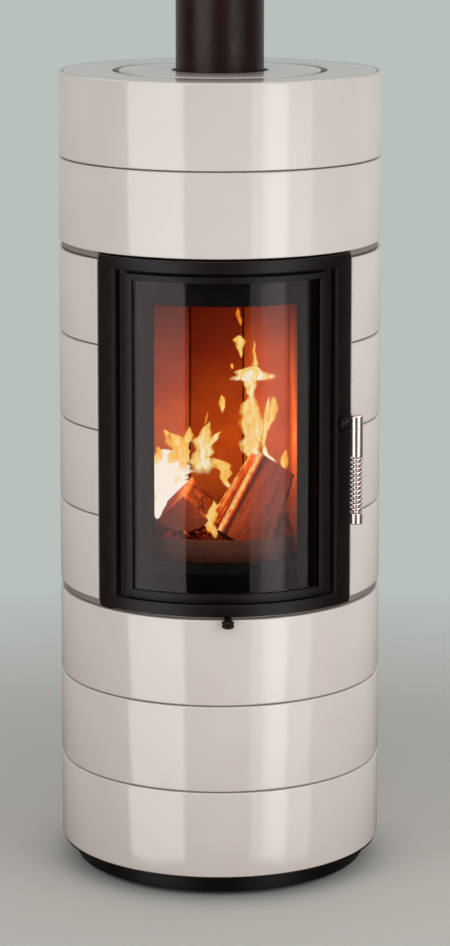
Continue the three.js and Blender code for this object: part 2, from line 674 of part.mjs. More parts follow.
function addHearth() {
  const edge = boxHalf - SEAT;
  const plate = block([-edge, edge], [-shellR, boxBack - SEAT], [ledgeZ + SEAT, hearthTop]);
  const hole = block([-GRATE_X, GRATE_X], [-GRATE_Y, GRATE_Y], [ledgeZ, hearthTop + CUT]);
  const trimmed = plate.intersect(disc(shellR, 0, FLUE_TOP)).subtract(hole);
  add('hearth_plate', trimmed, CAST_IRON);

  const lapX = GRATE_X + GRATE_LAP;
  const lapY = GRATE_Y + GRATE_LAP;
  let grate = block([-lapX, lapX], [-lapY, lapY], [hearthTop + SEAT, grateTop]);
  const pitch = (2 * GRATE_X) / GRATE_BARS;
  for (let n = 0; n < GRATE_BARS; n += 1) {
    const x = -GRATE_X + (n + 0.5) * pitch;
    const xs = [x - SLOT_W / 2, x + SLOT_W / 2];
    const ys = [-GRATE_Y + GRATE_RIM, GRATE_Y - GRATE_RIM];
    grate = grate.subtract(block(xs, ys, [hearthTop, grateTop + CUT]));
  }
  add('grate', grate, CAST_IRON);

  const guardZs = [hearthTop + SEAT, hearthTop + RETAINER_H];
  const guard = tube(retainerR - RETAINER_T, retainerR, ...guardZs);
  const retainer = arc(guard, -RETAINER_EDGE, RETAINER_EDGE);
  add('log_retainer', retainer, CAST_IRON);
  return trimmed.add(grate).add(retainer);
}

function addLining() {
  const low = hearthTop + SEAT;
  const edge = liningEdge;
  let walls = null;
  const rear = [boxBack - LINING_T, boxBack - SEAT];
  const mid = MID_PANEL / 2;
  const panels = [[-edge, -mid - SEAT], [-mid, mid], [mid + SEAT, edge]];
  panels.forEach((xs, n) => {
    add(`rear_lining_${n + 1}`, block(xs, rear, [low, LINING_TOP]), REFRACTORY);
  });
  for (const [side, sign] of [['left', -1], ['right', 1]]) {
    const xs = [sign * liningX, sign * edge].sort((a, b) => a - b);
    const slab = block(xs, [liningFront, rear[0] - SEAT], [low, LINING_TOP]);
    walls = walls ? walls.add(slab) : slab;
    add(`side_lining_${side}`, slab, REFRACTORY);
  }
  const baffleLow = LINING_TOP + SEAT;
  const baffle = block([-edge, edge], [BAFFLE_FRONT, rear[1]], [baffleLow, baffleLow + LINING_T]);
  add('baffle', baffle, REFRACTORY);
  return walls;
}

// An open tray with a rolled front grip, on two rails.
function addAshPan() {
  const outer = block([-PAN_HALF, PAN_HALF], [panFront, PAN_BACK], [panLow, panTop]);
  const inner = block(
    [-PAN_HALF + PAN_T, PAN_HALF - PAN_T],
    [panFront + PAN_T, PAN_BACK - PAN_T],
    [panLow + PAN_T, panTop + CUT],
  );
  const gripXs = [-PAN_GRIP_W / 2, PAN_GRIP_W / 2];
  const grip = block(gripXs, [panFront - PAN_GRIP_D, panFront + CUT], [panTop - PAN_T, panTop]);
  add('ash_pan', outer.subtract(inner).add(grip), BLACK_STEEL);
}

// ---------------------------------------------------------------- logs
// A split log lies along Z: a sector of a trunk, between two angles about its heart.
function splitLog({ radius, sector, length }) {
  const [from, to] = sector.map(THREE.MathUtils.degToRad);
  const shape = new THREE.Shape().moveTo(0, 0);
  for (let n = 0; n <= LOG_STEPS; n += 1) {
    const turn = from + ((to - from) * n) / LOG_STEPS;
    shape.lineTo(radius * Math.cos(turn), radius * Math.sin(turn));
  }
  return prism(shape, -length / 2, length / 2);
}

// Lowers a body until it lies a seat's clearance above what is under it.
function settle(body, under) {
  let resting = body;
  for (let n = 0; n < SETTLE_STEPS; n += 1) {
    const fall = resting.minGap(under, 2 * LOG_DROP) - SEAT;
    if (fall < SETTLED) break;
    resting = resting.translate([0, 0, -fall]);
  }
  return resting;
}

// The logs lean on each other, each one laid on the bed and on the logs before it.
function addLogs(bed) {
  let pile = bed;
  for (const log of LOGS) {
    const x = log.side * (liningX - log.inset);
    const turned = splitLog(log).rotate(log.turn).translate([x, log.y, grateTop + LOG_DROP]);
    const resting = settle(turned, pile);
    add(log.name, resting, BARK);
    pile = pile.add(resting);
  }
}

// ---------------------------------------------------------------- flue
function addFlue() {
  const pipeLow = collarLow + COLLAR_H - FLUE_LAP;
  add('flue_pipe', tube(fluePipeInner, FLUE_R, pipeLow, FLUE_TOP), BLACK_STEEL);
  const inner = collarR - COLLAR_T;
  const collar = revolve([
    [inner, collarLow], [inner + COLLAR_FLANGE, collarLow],
    [inner + COLLAR_FLANGE, collarLow + COLLAR_FLANGE_T], [collarR, collarLow + COLLAR_FLANGE_T],
    [collarR, collarLow + COLLAR_H], [inner, collarLow + COLLAR_H],
  ]);
  add('flue_collar', collar, CAST_IRON);
}

// ---------------------------------------------------------------- door
function roundedOutline(halfWidth, low, high, radius) {
  const shape = new THREE.Shape();
  shape.moveTo(-halfWidth + radius, low).lineTo(halfWidth - radius, low);
  shape.absarc(halfWidth - radius, low + radius, radius, -Math.PI / 2, 0, false);
  shape.lineTo(halfWidth, high - radius);
  shape.absarc(halfWidth - radius, high - radius, radius, 0, Math.PI / 2, false);
  shape.lineTo(-halfWidth + radius, high);
  shape.absarc(-halfWidth + radius, high - radius, radius, Math.PI / 2, Math.PI, false);
  shape.lineTo(-halfWidth, low + radius);
  shape.absarc(-halfWidth + radius, low + radius, radius, Math.PI, 1.5 * Math.PI, false);
  return shape;
}

// A prism of that outline, seen from the front and run from front to rear.
function frontPrism(shape) {
  const options = { depth: 2 * BODY_R, bevelEnabled: false, curveSegments: 3 };
  const geometry = new THREE.ExtrudeGeometry(shape, options);
  return solid(geometry.rotateX(Math.PI / 2));
}

function radialBore(radius, az, z, from, to) {
  const bore = disc(radius, from, to, SMALL_FACETS).rotate([90, 0, 0]).rotate([0, 0, az]);
  return bore.translate([0, 0, z]);
}

function addDoor() {
  const openEdge = LEAF_INNER + WINDOW_MARGIN / 2;
  const openHeights = [leafLow + LEAF_H - WINDOW_MARGIN, leafHigh - LEAF_H + WINDOW_MARGIN];
  let frame = curvedFrame(
    [doorBackR, BODY_R], DOOR_EDGE, [doorLow, doorHigh], openEdge, openHeights,
  );
  const pocket = arc(
    tube(pocketR, BODY_R + CUT, doorLow + RAIL, doorHigh - RAIL), -POCKET_EDGE, POCKET_EDGE,
  );
  const halfWidth = polar(DOOR_EDGE, BODY_R)[0];
  frame = frame.subtract(pocket);
  frame = frame.intersect(frontPrism(roundedOutline(halfWidth, doorLow, doorHigh, DOOR_CORNER)));
  const [pivotX, pivotY] = polar(pivotAz, pivotR);
  const pinHole = (low, high) => disc(PIN_R + RUNNING, low, high, SMALL_FACETS)
    .translate([pivotX, pivotY, 0]);
  frame = frame.subtract(pinHole(doorLow - CUT, doorLow + PIN_L + CUT));
  frame = frame.subtract(pinHole(doorHigh - PIN_L - CUT, doorHigh + CUT));
  frame = frame.subtract(
    radialBore(SPINDLE_R + RUNNING, HANDLE_AZ, HANDLE_Z, doorBackR - CUT, BODY_R + CUT),
  );
  add('door_frame', frame, BLACK_STEEL);

  const glassRing = tube(glassR - GLASS_T, glassR, glassLow, glassHigh);
  add('door_glass', arc(glassRing, -GLASS_EDGE, GLASS_EDGE), CLEAR);
  const leaf = curvedFrame(
    [leafR - LEAF_T, leafR], LEAF_EDGE, [leafLow, leafHigh],
    LEAF_INNER, [leafLow + LEAF_H, leafHigh - LEAF_H],
  );
  add('glass_frame', leaf, BLACK_STEEL);
  const tape = curvedFrame(
    [tapeR - TAPE_T, tapeR], GLASS_EDGE, [glassLow, glassHigh],
    GLASS_EDGE - TAPE_SPAN, [glassLow + GLASS_LAP - WINDOW_MARGIN, glassHigh - GLASS_LAP + WINDOW_MARGIN],
  );
  add('glass_seal', tape, ROPE);
  const ropeLow = flangeLow + SEAT;
  const ropeHigh = ropeLow + ROPE_W;
  const headHigh = doorHigh - ROPE_W;
  const rope = curvedFrame(
    [doorBackR - SEAT - ROPE_T, doorBackR - SEAT], ROPE_EDGE, [ropeLow, headHigh],
    ROPE_EDGE - ROPE_SPAN, [ropeHigh, headHigh - ROPE_W],
  );
  add('door_seal', rope, ROPE);
}

// Pivot brackets: a tab on the carrier with a pin into the door's edge.
function addHinges() {
  const [pivotX, pivotY] = polar(pivotAz, pivotR);
  const bracketR = BODY_R - BRACKET_IN;
  const tab = (low, high) => arc(
    tube(bracketR - BRACKET_L, bracketR, low, high), pivotAz - BRACKET_HALF, pivotAz + BRACKET_HALF,
  );
  const pin = (low, high) => disc(PIN_R, low, high, SMALL_FACETS).translate([pivotX, pivotY, 0]);
  const lowerTop = bandZ + BRACKET_T;
  const lower = tab(bandZ, lowerTop).add(pin(lowerTop - CUT, doorLow + PIN_L));
  add('lower_hinge_bracket', lower, BLACK_STEEL);
  const upper = tab(bracketLow, bracketHigh).add(pin(doorHigh - PIN_L, bracketLow + CUT));
  add('upper_hinge_bracket', upper, BLACK_STEEL);
}

// ---------------------------------------------------------------- handle and latch
// A closed tube through a list of points, with square ends. Sections turn with the axis of the coil.
function wire(points, radius, sides) {
  const positions = [];
  const index = [];
  points.forEach((point, i) => {
    const before = points[Math.max(i - 1, 0)];
    const after = points[Math.min(i + 1, points.length - 1)];
    const along = after.clone().sub(before).normalize();
    const out = new THREE.Vector3(point.x, point.y, 0).normalize();
    const across = new THREE.Vector3().crossVectors(along, out).normalize();
    const up = new THREE.Vector3().crossVectors(across, along);
    for (let k = 0; k < sides; k += 1) {
      const turn = (2 * Math.PI * k) / sides;
      const vertex = point.clone()
        .addScaledVector(up, radius * Math.cos(turn))
        .addScaledVector(across, radius * Math.sin(turn));
      positions.push(vertex.x, vertex.y, vertex.z);
    }
  });
  for (let i = 0; i < points.length - 1; i += 1) {
    for (let k = 0; k < sides; k += 1) {
      const a = i * sides + k;
      const b = i * sides + ((k + 1) % sides);
      index.push(a, b, a + sides, b, b + sides, a + sides);
    }
  }
  const last = (points.length - 1) * sides;
  for (let k = 1; k < sides - 1; k += 1) {
    index.push(0, k + 1, k);
    index.push(last, last + k, last + k + 1);
  }
  const geometry = new THREE.BufferGeometry();
  geometry.setAttribute('position', new THREE.Float32BufferAttribute(positions, 3));
  geometry.setIndex(index);
  return geometry;
}

// The grip's coil: straight for one wire thickness at each end, and a true helix between.
function coilPoints(high, low) {
  const straight = 2 * WIRE_R;
  const from = high - straight;
  const to = low + straight;
  const count = COIL_TURNS * COIL_STEPS;
  const points = [new THREE.Vector3(COIL_R, 0, high)];
  for (let i = 0; i <= count; i += 1) {
    const turn = (2 * Math.PI * i) / COIL_STEPS;
    const z = from + ((to - from) * i) / count;
    points.push(new THREE.Vector3(COIL_R * Math.cos(turn), COIL_R * Math.sin(turn), z));
  }
  points.push(new THREE.Vector3(COIL_R, 0, low));
  return points;
}

function leastGap(points) {
  let least = Infinity;
  for (let i = 0; i < points.length; i += 1) {
    for (let k = i + COIL_STEPS - 2; k < points.length; k += 1) {
      least = Math.min(least, points[i].distanceTo(points[k]) - 2 * WIRE_R);
    }
  }
  return least;
}

// Pieces on the spindle are drawn with the spindle along -Y and the grip hanging down from it.
function addHandle() {
  const station = new THREE.Group();
  station.rotation.z = THREE.MathUtils.degToRad(HANDLE_AZ);
  station.position.z = HANDLE_Z;
  stove.add(station);
  const outward = (r, from, to, facets = SMALL_FACETS) => disc(r, from, to, facets).rotate([90, 0, 0]);

  const bossFrom = BODY_R + SEAT;
  const gripFace = handleR - GRIP_R - SEAT;
  const tongueFrom = tongueR - TONGUE_T;
  const spindleEnd = handleR - SPINDLE_SHORT;
  let spindle = outward(SPINDLE_R, tongueFrom, spindleEnd);
  spindle = spindle.add(outward(BOSS_R, bossFrom, bossFrom + BOSS_T, ROUND_FACETS));
  add('handle_spindle', spindle, BLACK_STEEL, station);

  const sleeveTop = GRIP_ABOVE;
  const sleeveLow = sleeveTop - SLEEVE_L;
  const springLow = sleeveLow - SPRING_L;
  const capLow = springLow - CAP_L;
  const at = (body) => body.translate([0, -handleR, 0]);
  const sleeveOutline = [
    [0, springLow + SEAT], [CORE_R, springLow + SEAT], [CORE_R, sleeveLow],
    [GRIP_R - CAP_BEVEL / 2, sleeveLow], [GRIP_R, sleeveLow + CAP_BEVEL / 2],
    [GRIP_R, sleeveTop - CAP_BEVEL], [GRIP_R - CAP_BEVEL, sleeveTop], [0, sleeveTop],
  ];
  const socket = outward(SPINDLE_R + SEAT, gripFace - SOCKET_LEAD, spindleEnd + SEAT);
  const grip = at(solidOfRevolution(sleeveOutline, ROUND_FACETS)).subtract(socket);
  add('handle_grip', grip, BRIGHT_STEEL, station);

  const points = coilPoints(sleeveLow - SEAT, springLow + SEAT);
  console.log(`handle spring: least gap to itself ${leastGap(points).toFixed(2)} mm`);
  add('handle_spring', at(solid(wire(points, WIRE_R, COIL_SIDES))), BRIGHT_STEEL, station);

  const capOutline = [
    [0, capLow], [GRIP_R - CAP_BEVEL, capLow], [GRIP_R, capLow + CAP_BEVEL],
    [GRIP_R, springLow - CAP_BEVEL / 2], [GRIP_R - CAP_BEVEL / 2, springLow], [0, springLow],
  ];
  add('handle_cap', at(solidOfRevolution(capOutline, ROUND_FACETS)), BRIGHT_STEEL, station);

  const tongueShape = new THREE.Shape();
  const half = TONGUE_W / 2;
  const hub = SPINDLE_R + tongueRIM;
  const shoulder = Math.acos(half / hub);
  tongueShape.moveTo(-half, -TONGUE_L + TONGUE_BEVEL).lineTo(-half + TONGUE_BEVEL, -TONGUE_L);
  tongueShape.lineTo(half - TONGUE_BEVEL, -TONGUE_L).lineTo(half, -TONGUE_L + TONGUE_BEVEL);
  tongueShape.absarc(0, 0, hub, -shoulder, Math.PI + shoulder, false);
  let tongue = prism(tongueShape, tongueFrom, tongueR).rotate([90, 0, 0]);
  tongue = tongue.subtract(outward(SPINDLE_R + SEAT, tongueFrom - CUT, tongueR + CUT));
  add('latch_tongue', tongue, BRIGHT_STEEL, station);
}

// A spring steel leaf: its leg lies on the firebox wall, and its free end holds the tongue.
function addKeeper() {
  const high = HANDLE_Z - TONGUE_L + KEEPER_H;
  const low = high - KEEPER_H;
  const legX = boxHalf + STEEL + SEAT;
  const innermost = (keeperR - KEEPER_T) * Math.cos(Math.PI / FACETS);
  const from = THREE.MathUtils.radToDeg(Math.asin(legX / innermost));
  const leaf = arc(tube(keeperR - KEEPER_T, keeperR, low, high), from, KEEPER_TO);
  const seatR = keeperR * Math.cos(Math.PI / FACETS);
  const legY = -Math.sqrt(seatR ** 2 - (legX + KEEPER_T) ** 2);
  const leg = block([legX, legX + KEEPER_T], [legY, legY + KEEPER_LEG], [low, high]);
  add('latch_keeper', leaf.add(leg), BRIGHT_STEEL);
}

// ---------------------------------------------------------------- build
addPedestal();
addFeet();
addLowerCourses();
addSideTiles();
addUpperCourses();
addCarriers();
addTop();
addRearPanel();
addAirBox();
addAirControl();
addFirebox();
const bed = addHearth().add(addLining());
addAshPan();
addLogs(bed);
addFlue();
addDoor();
addHinges();
addHandle();
addKeeper();

export default stove;
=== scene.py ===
# %% [markdown]
# # A round tiled stove, dressed around its frame
#
# The stove is a steel stand and a cast firebox inside a sleeve of glazed ceramic rings, with a curved glass door. The
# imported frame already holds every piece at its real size, with the joints of the door, the handle and the air lever.
# This lesson gives each visible piece its fine surface and its finish. The pieces could be modelled by hand. Here they
# are worked out as numbers, so that each sits exactly where the frame says, and one value changes it.

# %% Load the frame
import json
import math

import bpy
import numpy as np
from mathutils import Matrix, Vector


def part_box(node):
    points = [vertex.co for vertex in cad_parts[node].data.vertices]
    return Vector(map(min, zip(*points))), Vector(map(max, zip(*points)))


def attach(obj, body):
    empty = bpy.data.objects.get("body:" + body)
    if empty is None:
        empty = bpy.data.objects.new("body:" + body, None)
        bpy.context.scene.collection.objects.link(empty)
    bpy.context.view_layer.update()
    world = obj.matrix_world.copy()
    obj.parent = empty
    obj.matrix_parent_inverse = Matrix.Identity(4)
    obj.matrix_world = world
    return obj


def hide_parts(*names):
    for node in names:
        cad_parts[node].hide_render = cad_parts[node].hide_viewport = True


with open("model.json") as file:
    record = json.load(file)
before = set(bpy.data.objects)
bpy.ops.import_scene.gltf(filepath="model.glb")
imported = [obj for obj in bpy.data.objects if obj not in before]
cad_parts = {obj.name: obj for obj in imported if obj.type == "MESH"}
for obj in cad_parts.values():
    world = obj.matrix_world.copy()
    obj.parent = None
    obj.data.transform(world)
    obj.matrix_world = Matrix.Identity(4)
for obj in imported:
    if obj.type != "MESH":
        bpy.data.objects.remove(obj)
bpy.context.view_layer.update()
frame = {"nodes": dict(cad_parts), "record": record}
MM = 0.001

# %% [markdown]
# ## The camera
#
# The stove was photographed with a long lens from a little above its top, so its rings show as flat ellipses. A camera
# could be moved by eye until the picture fits. This one was worked out from the joints between the rings, as a
# distance, a height and a tilt, so that everything fits at once. The lens shift moves the picture without turning the
# lens, which keeps the verticals where the photograph has them.

# %% Camera
PICTURE_W, PICTURE_H = 450, 946
FOCAL_PIXELS = 3129.8
PRINCIPAL_X, PRINCIPAL_Y = 219.85, 237.0
CAMERA_AZIMUTH = math.radians(-2.667)
CAMERA_DISTANCE, CAMERA_HEIGHT = 5.3011, 1.8094
CAMERA_TILT = math.radians(7.81)
SENSOR = 36.0


def add_camera():
    """Stands at (d sin a, -d cos a, h), looks level towards the axis and is tilted down. The lens is the focal length
    in pixels times the sensor over the picture's longer side, and the shifts put the principal point where it was."""
    data = bpy.data.cameras.new("camera")
    data.sensor_width = SENSOR
    data.lens = FOCAL_PIXELS * SENSOR / PICTURE_H
    data.shift_x = (PICTURE_W / 2 - PRINCIPAL_X) / PICTURE_H
    data.shift_y = (PRINCIPAL_Y - PICTURE_H / 2) / PICTURE_H
    camera = bpy.data.objects.new("camera", data)
    camera.location = (
        CAMERA_DISTANCE * math.sin(CAMERA_AZIMUTH),
        -CAMERA_DISTANCE * math.cos(CAMERA_AZIMUTH),
        CAMERA_HEIGHT,
    )
    camera.rotation_euler = (math.pi / 2 - CAMERA_TILT, 0, CAMERA_AZIMUTH)
    bpy.context.scene.collection.objects.link(camera)
    bpy.context.scene.camera = camera
    print(f"lens {data.lens:.1f} mm, shift {data.shift_x:.4f} {data.shift_y:.4f}")


add_camera()

# %% [markdown]
# ## Colours and nodes
#
# A material is a tree of shader nodes. It could be put together in the shader editor. Written as code, it reads from
# top to bottom. Colours are sRGB hex, the way a colour picker shows them, and one function turns them to linear light.
# One more adds a node with its settings and links, and a third puts a surface into a new material. Every pattern reads
# the place on the piece itself, so it has its real size and moves with the piece.


# %% Colour and node helpers
def linear(code, factor=1.0):
    """sRGB hex to linear: c / 12.92 below 0.04045, else ((c + 0.055) / 1.055) to the power 2.4, times a factor."""
    c = np.array([int(code[i : i + 2], 16) for i in (1, 3, 5)]) / 255
    rgb = np.where(c <= 0.04045, c / 12.92, ((c + 0.055) / 1.055) ** 2.4) * factor
    return (*rgb.tolist(), 1.0)


def node(tree, kind, give=0, settings=None, **inputs):
    """Adds a shader node and returns one of its outputs, by number or name. settings are its own fields. inputs fill
    its sockets, by name or as _6 by number, with a value or with another node's output."""
    made = tree.nodes.new("ShaderNode" + kind)
    for field, value in (settings or {}).items():
        setattr(made, field, value)
    for name, value in inputs.items():
        socket = made.inputs[int(name[1:]) if name[0] == "_" else name.replace("_", " ")]
        if isinstance(value, bpy.types.NodeSocket):
            tree.links.new(value, socket)
        else:
            socket.default_value = value
    return made.outputs[give] if made.outputs else made


RGBA = {"data_type": "RGBA"}  # makes a Mix node mix colours: 0 is its factor, 6 and 7 are its colours, 2 its result


def made_of(name, surface, *details):
    """A new material. surface works out its shader from the tree, the place on the piece and any details."""
    material = bpy.data.materials.new(name)
    material.use_nodes = True
    tree = material.node_tree
    tree.nodes.remove(tree.nodes["Principled BSDF"])
    shader = surface(tree, node(tree, "TexCoord", "Object"), *details)
    tree.links.new(shader, tree.nodes["Material Output"].inputs["Surface"])
    print(f"material {name}: {len(tree.nodes)} nodes")
    return material


finish = {}
print("mid grey in linear light:", round(linear("#808080")[0], 4))

# %% [markdown]
# ## Glazed stoneware
#
# The rings are cast stoneware under a thick, warm grey glaze. A glossy plastic would look too even. A glaze is a layer
# of glass on a matt body: it mirrors lamps sharply at a few percent, its colour pools a little where it ran thick, and
# its film is never quite flat.

# %% Glazed stoneware
GLAZE, GLAZE_DEEP = "#d6cdc7", "#cfc5be"
GLAZE_CLOUD, GLAZE_RIPPLE, RIPPLE_DEPTH = 90 * MM, 35 * MM, 0.05 * MM


def glazed_stoneware(tree, place):
    """To the eye: an even, pale body under clear gloss, whose long highlights waver slightly at their edges."""
    cloud = node(tree, "TexNoise", Vector=place, Scale=1 / GLAZE_CLOUD, Detail=3.0)
    ripple = node(tree, "TexNoise", Vector=place, Scale=1 / GLAZE_RIPPLE, Detail=1.0)
    colour = node(tree, "Mix", 2, RGBA, _0=cloud, _6=linear(GLAZE), _7=linear(GLAZE_DEEP))
    relief = node(tree, "Bump", Height=ripple, Distance=RIPPLE_DEPTH)
    return node(tree, "BsdfPrincipled", Base_Color=colour, Roughness=0.11, IOR=1.6, Normal=relief)


finish["glazed_ceramic"] = made_of("glazed_stoneware", glazed_stoneware)

# %% [markdown]
# ## Stove paint
#
# Pipe, stand, door and carrier plates are steel under matt silicone paint that stands heat. Each could have its own
# material. It is one paint in four colours, warm black and a grey-brown for the carriers, so one function takes the
# colour, the roughness and how much the coat mirrors.

# %% Stove paint
PAINT_STAND, PAINT_PIPE, PAINT_DOOR, PAINT_GREY = "#0a0706", "#26120e", "#120a08", "#80766f"
PAINT_DUST, PAINT_RUB = 40 * MM, 25 * MM
PAINT_GRAIN, PAINT_DEPTH = 0.9 * MM, 0.02 * MM  # real paint has a grain of 0.1 mm, which is too fine to show


def stove_paint(tree, place, code, roughness, level):
    """To the eye: a dry, slightly dusty coat with a broad soft sheen, a little smoother where hands rub it."""
    dust = node(tree, "TexNoise", Vector=place, Scale=1 / PAINT_DUST, Detail=4.0)
    rub = node(tree, "TexNoise", Vector=place, Scale=1 / PAINT_RUB, Detail=3.0)
    grain = node(tree, "TexNoise", Vector=place, Scale=1 / PAINT_GRAIN)
    colour = node(tree, "Mix", 2, RGBA, _0=dust, _6=linear(code, 0.88), _7=linear(code, 1.12))
    smooth, dull = roughness - 0.05, roughness + 0.05
    rough = node(tree, "MapRange", Value=rub, From_Min=0.3, From_Max=0.7, To_Min=smooth, To_Max=dull)
    relief = node(tree, "Bump", Height=grain, Distance=PAINT_DEPTH)
    return node(
        tree, "BsdfPrincipled", Base_Color=colour, Roughness=rough, Specular_IOR_Level=level, Normal=relief
    )


finish["black_steel"] = made_of("black_stove_paint", stove_paint, PAINT_STAND, 0.45, 0.15)
finish["pipe_paint"] = made_of("warm_black_pipe_paint", stove_paint, PAINT_PIPE, 0.34, 0.24)
finish["door_paint"] = made_of("deep_black_door_paint", stove_paint, PAINT_DOOR, 0.4, 0.2)
finish["grey_steel"] = made_of("grey_stove_paint", stove_paint, PAINT_GREY, 0.5, 0.5)

# %% [markdown]
# ## Cast iron
#
# Firebox, grate and collar are raw castings. A smooth dark colour would look like plastic, because the skin of a
# casting keeps the grain of its sand mould. The log guard stands in the fire, which has browned it with oxide: the
# same surface in other colours.

# %% Cast iron
CAST_GRAIN, CAST_DEPTH = 2.5 * MM, 0.1 * MM  # moulding sand is 0.3 mm, drawn coarser so that it shows


def cast_iron(tree, place, dark, pale, patch, detail, level, roughness, metallic):
    """To the eye: dull, faintly pitted metal in uneven patches."""
    patches = node(tree, "TexNoise", Vector=place, Scale=1 / patch, Detail=detail)
    grain = node(tree, "TexNoise", Vector=place, Scale=1 / CAST_GRAIN, Detail=4.0, Roughness=0.6)
    colour = node(tree, "Mix", 2, RGBA, _0=patches, _6=linear(dark), _7=linear(pale))
    relief = node(tree, "Bump", Height=grain, Distance=CAST_DEPTH)
    return node(
        tree, "BsdfPrincipled", Base_Color=colour, Roughness=roughness, Metallic=metallic,
        Specular_IOR_Level=level, Normal=relief,
    )


finish["cast_iron"] = made_of("cast_iron", cast_iron, "#060505", "#100e0d", 30 * MM, 5.0, 0.25, 0.7, 0.2)
finish["browned_iron"] = made_of(
    "iron_browned_by_heat", cast_iron, "#5b3426", "#7a4a38", 25 * MM, 4.0, 0.2, 0.75, 0.0
)

# %% [markdown]
# ## Polished steel
#
# Grip, coil and latch are stainless steel, polished by machine. A perfect mirror would show the room too sharply.
# Handling leaves faint smears, so tone and roughness drift over a few millimetres.

# %% Polished steel
STEEL, STEEL_SMEARED = "#d6c8c1", "#c2b2ab"
SMEAR = 6 * MM


def polished_steel(tree, place):
    """To the eye: bright metal with soft-edged highlights."""
    smear = node(tree, "TexNoise", Vector=place, Scale=1 / SMEAR, Detail=3.0)
    colour = node(tree, "Mix", 2, RGBA, _0=smear, _6=linear(STEEL), _7=linear(STEEL_SMEARED))
    rough = node(tree, "MapRange", Value=smear, From_Min=0.3, From_Max=0.7, To_Min=0.24, To_Max=0.34)
    return node(tree, "BsdfPrincipled", Base_Color=colour, Metallic=1.0, Roughness=rough)


finish["bright_steel"] = made_of("polished_stainless_steel", polished_steel)

# %% [markdown]
# ## Fireclay
#
# The firebox is lined with boards of pressed fireclay, tan and gritty. Towards the top they go dark red-brown, most
# of all in the middle at the back: partly soot, partly painted shade where the firelight falls off. It could be painted
# on by hand. Here it follows the height, plus a number that the points of each board carry.

# %% Fireclay
FIRECLAY, FIRECLAY_DARK, FIRECLAY_SOOTED_AND_SHADED = "#cc7636", "#a4521f", "#66230e"
CLAY_PATCH = 60 * MM
CLAY_GRIT, GRIT_DEPTH = 3 * MM, 0.5 * MM  # real grit is about 1 mm, drawn coarser so that it shows
# darkening with height: partly soot, partly painted shade where the firelight falls off towards the top
SOOT_AND_SHADE_LOW, SOOT_AND_SHADE_HIGH = 0.70, 0.98


def fireclay(tree, place):
    """To the eye: rough, sandy board, patchy in tone, that goes from tan to a dark red-brown as it rises, by soot and
    painted shade.
    """
    blotch = node(tree, "TexNoise", Vector=place, Scale=1 / CLAY_PATCH, Detail=5.0, Roughness=0.6)
    patches = node(tree, "MapRange", Value=blotch, From_Min=0.35, From_Max=0.7)
    clay = node(tree, "Mix", 2, RGBA, _0=patches, _6=linear(FIRECLAY), _7=linear(FIRECLAY_DARK))
    height = node(tree, "SeparateXYZ", "Z", Vector=place)
    risen = node(tree, "MapRange", Value=height, From_Min=SOOT_AND_SHADE_LOW, From_Max=SOOT_AND_SHADE_HIGH)
    extra = node(tree, "Attribute", "Fac", {"attribute_name": "soot_and_shade"})
    # how far the colour goes to the dark red-brown: soot and painted shade by height, plus each board's own share
    soot_and_shade = node(tree, "Math", 0, {"use_clamp": True}, _0=risen, _1=extra)
    colour = node(tree, "Mix", 2, RGBA, _0=soot_and_shade, _6=clay, _7=linear(FIRECLAY_SOOTED_AND_SHADED))
    grit = node(tree, "TexNoise", Vector=place, Scale=1 / CLAY_GRIT, Detail=5.0, Roughness=0.7)
    relief = node(tree, "Bump", Height=grit, Distance=GRIT_DEPTH)
    return node(tree, "BsdfPrincipled", Base_Color=colour, Roughness=0.9, Normal=relief)


finish["refractory"] = made_of("pressed_fireclay", fireclay)

# %% [markdown]
# ## Sealing rope
#
# Door and glass close on knitted glass fibre, grey and without gloss. The knit could be modelled strand by strand. It
# is mostly hidden, so a diagonal wave gives its strands as relief and darkens the furrows between them as painted
# shade.

# %% Sealing rope
# the second colour is painted shade for the furrows between the strands
ROPE, ROPE_FURROW_SHADE = "#4a4644", "#2f2c2b"
STRAND_SCALE = 1 / (6 * MM)  # a diagonal wave of this scale repeats every 2.2 mm, about as wide as a real strand


def seal_rope(tree, place):
    """To the eye: dry grey cord with slanting furrows, darkened by painted shade."""
    strands = node(tree, "TexWave", "Fac", {"bands_direction": "DIAGONAL"}, Vector=place, Scale=STRAND_SCALE)
    # painted shade: darker where the wave's relief is low
    colour = node(tree, "Mix", 2, RGBA, _0=strands, _6=linear(ROPE_FURROW_SHADE), _7=linear(ROPE))
    relief = node(tree, "Bump", Height=strands, Distance=0.5 * MM)
    return node(tree, "BsdfPrincipled", Base_Color=colour, Roughness=0.95, Normal=relief)


finish["seal_rope"] = made_of("glass_fibre_rope", seal_rope)

# %% [markdown]
# ## Ceramic glass
#
# The window is ceramic glass, clear and hard. A refracting shader would darken the firebox with its shadow, though a
# pane this thin hardly bends what is behind it. So the glass is a clear shader mixed with a mirror, and Fresnel's law
# gives the mirror its share: a few percent face on, more at a slant.

# %% Ceramic glass
GLASS_CLEAR, GLASS_MIRROR = "#f4f1ee", "#a29c9d"


def ceramic_glass(tree, place):
    """To the eye: the fire in its full colour, under faint upright bands of mirrored lamp light."""
    clear = node(tree, "BsdfTransparent", Color=linear(GLASS_CLEAR))
    mirror = node(tree, "BsdfGlossy", Color=linear(GLASS_MIRROR), Roughness=0.05)
    return node(tree, "MixShader", _0=node(tree, "Fresnel", IOR=1.41), _1=clear, _2=mirror)


finish["door_glass"] = made_of("ceramic_glass", ceramic_glass)

# %% [markdown]
# ## Split beech
#
# The logs are split beech with charred bark. Their split faces have the beech's own brown with the red of the firelight
# painted in, and they glow from dark red to pale yellow where they burn. A pattern alone would glow anywhere. Fire
# follows edges and cracks, so the points of a log carry two numbers, tone and glow, that say where.

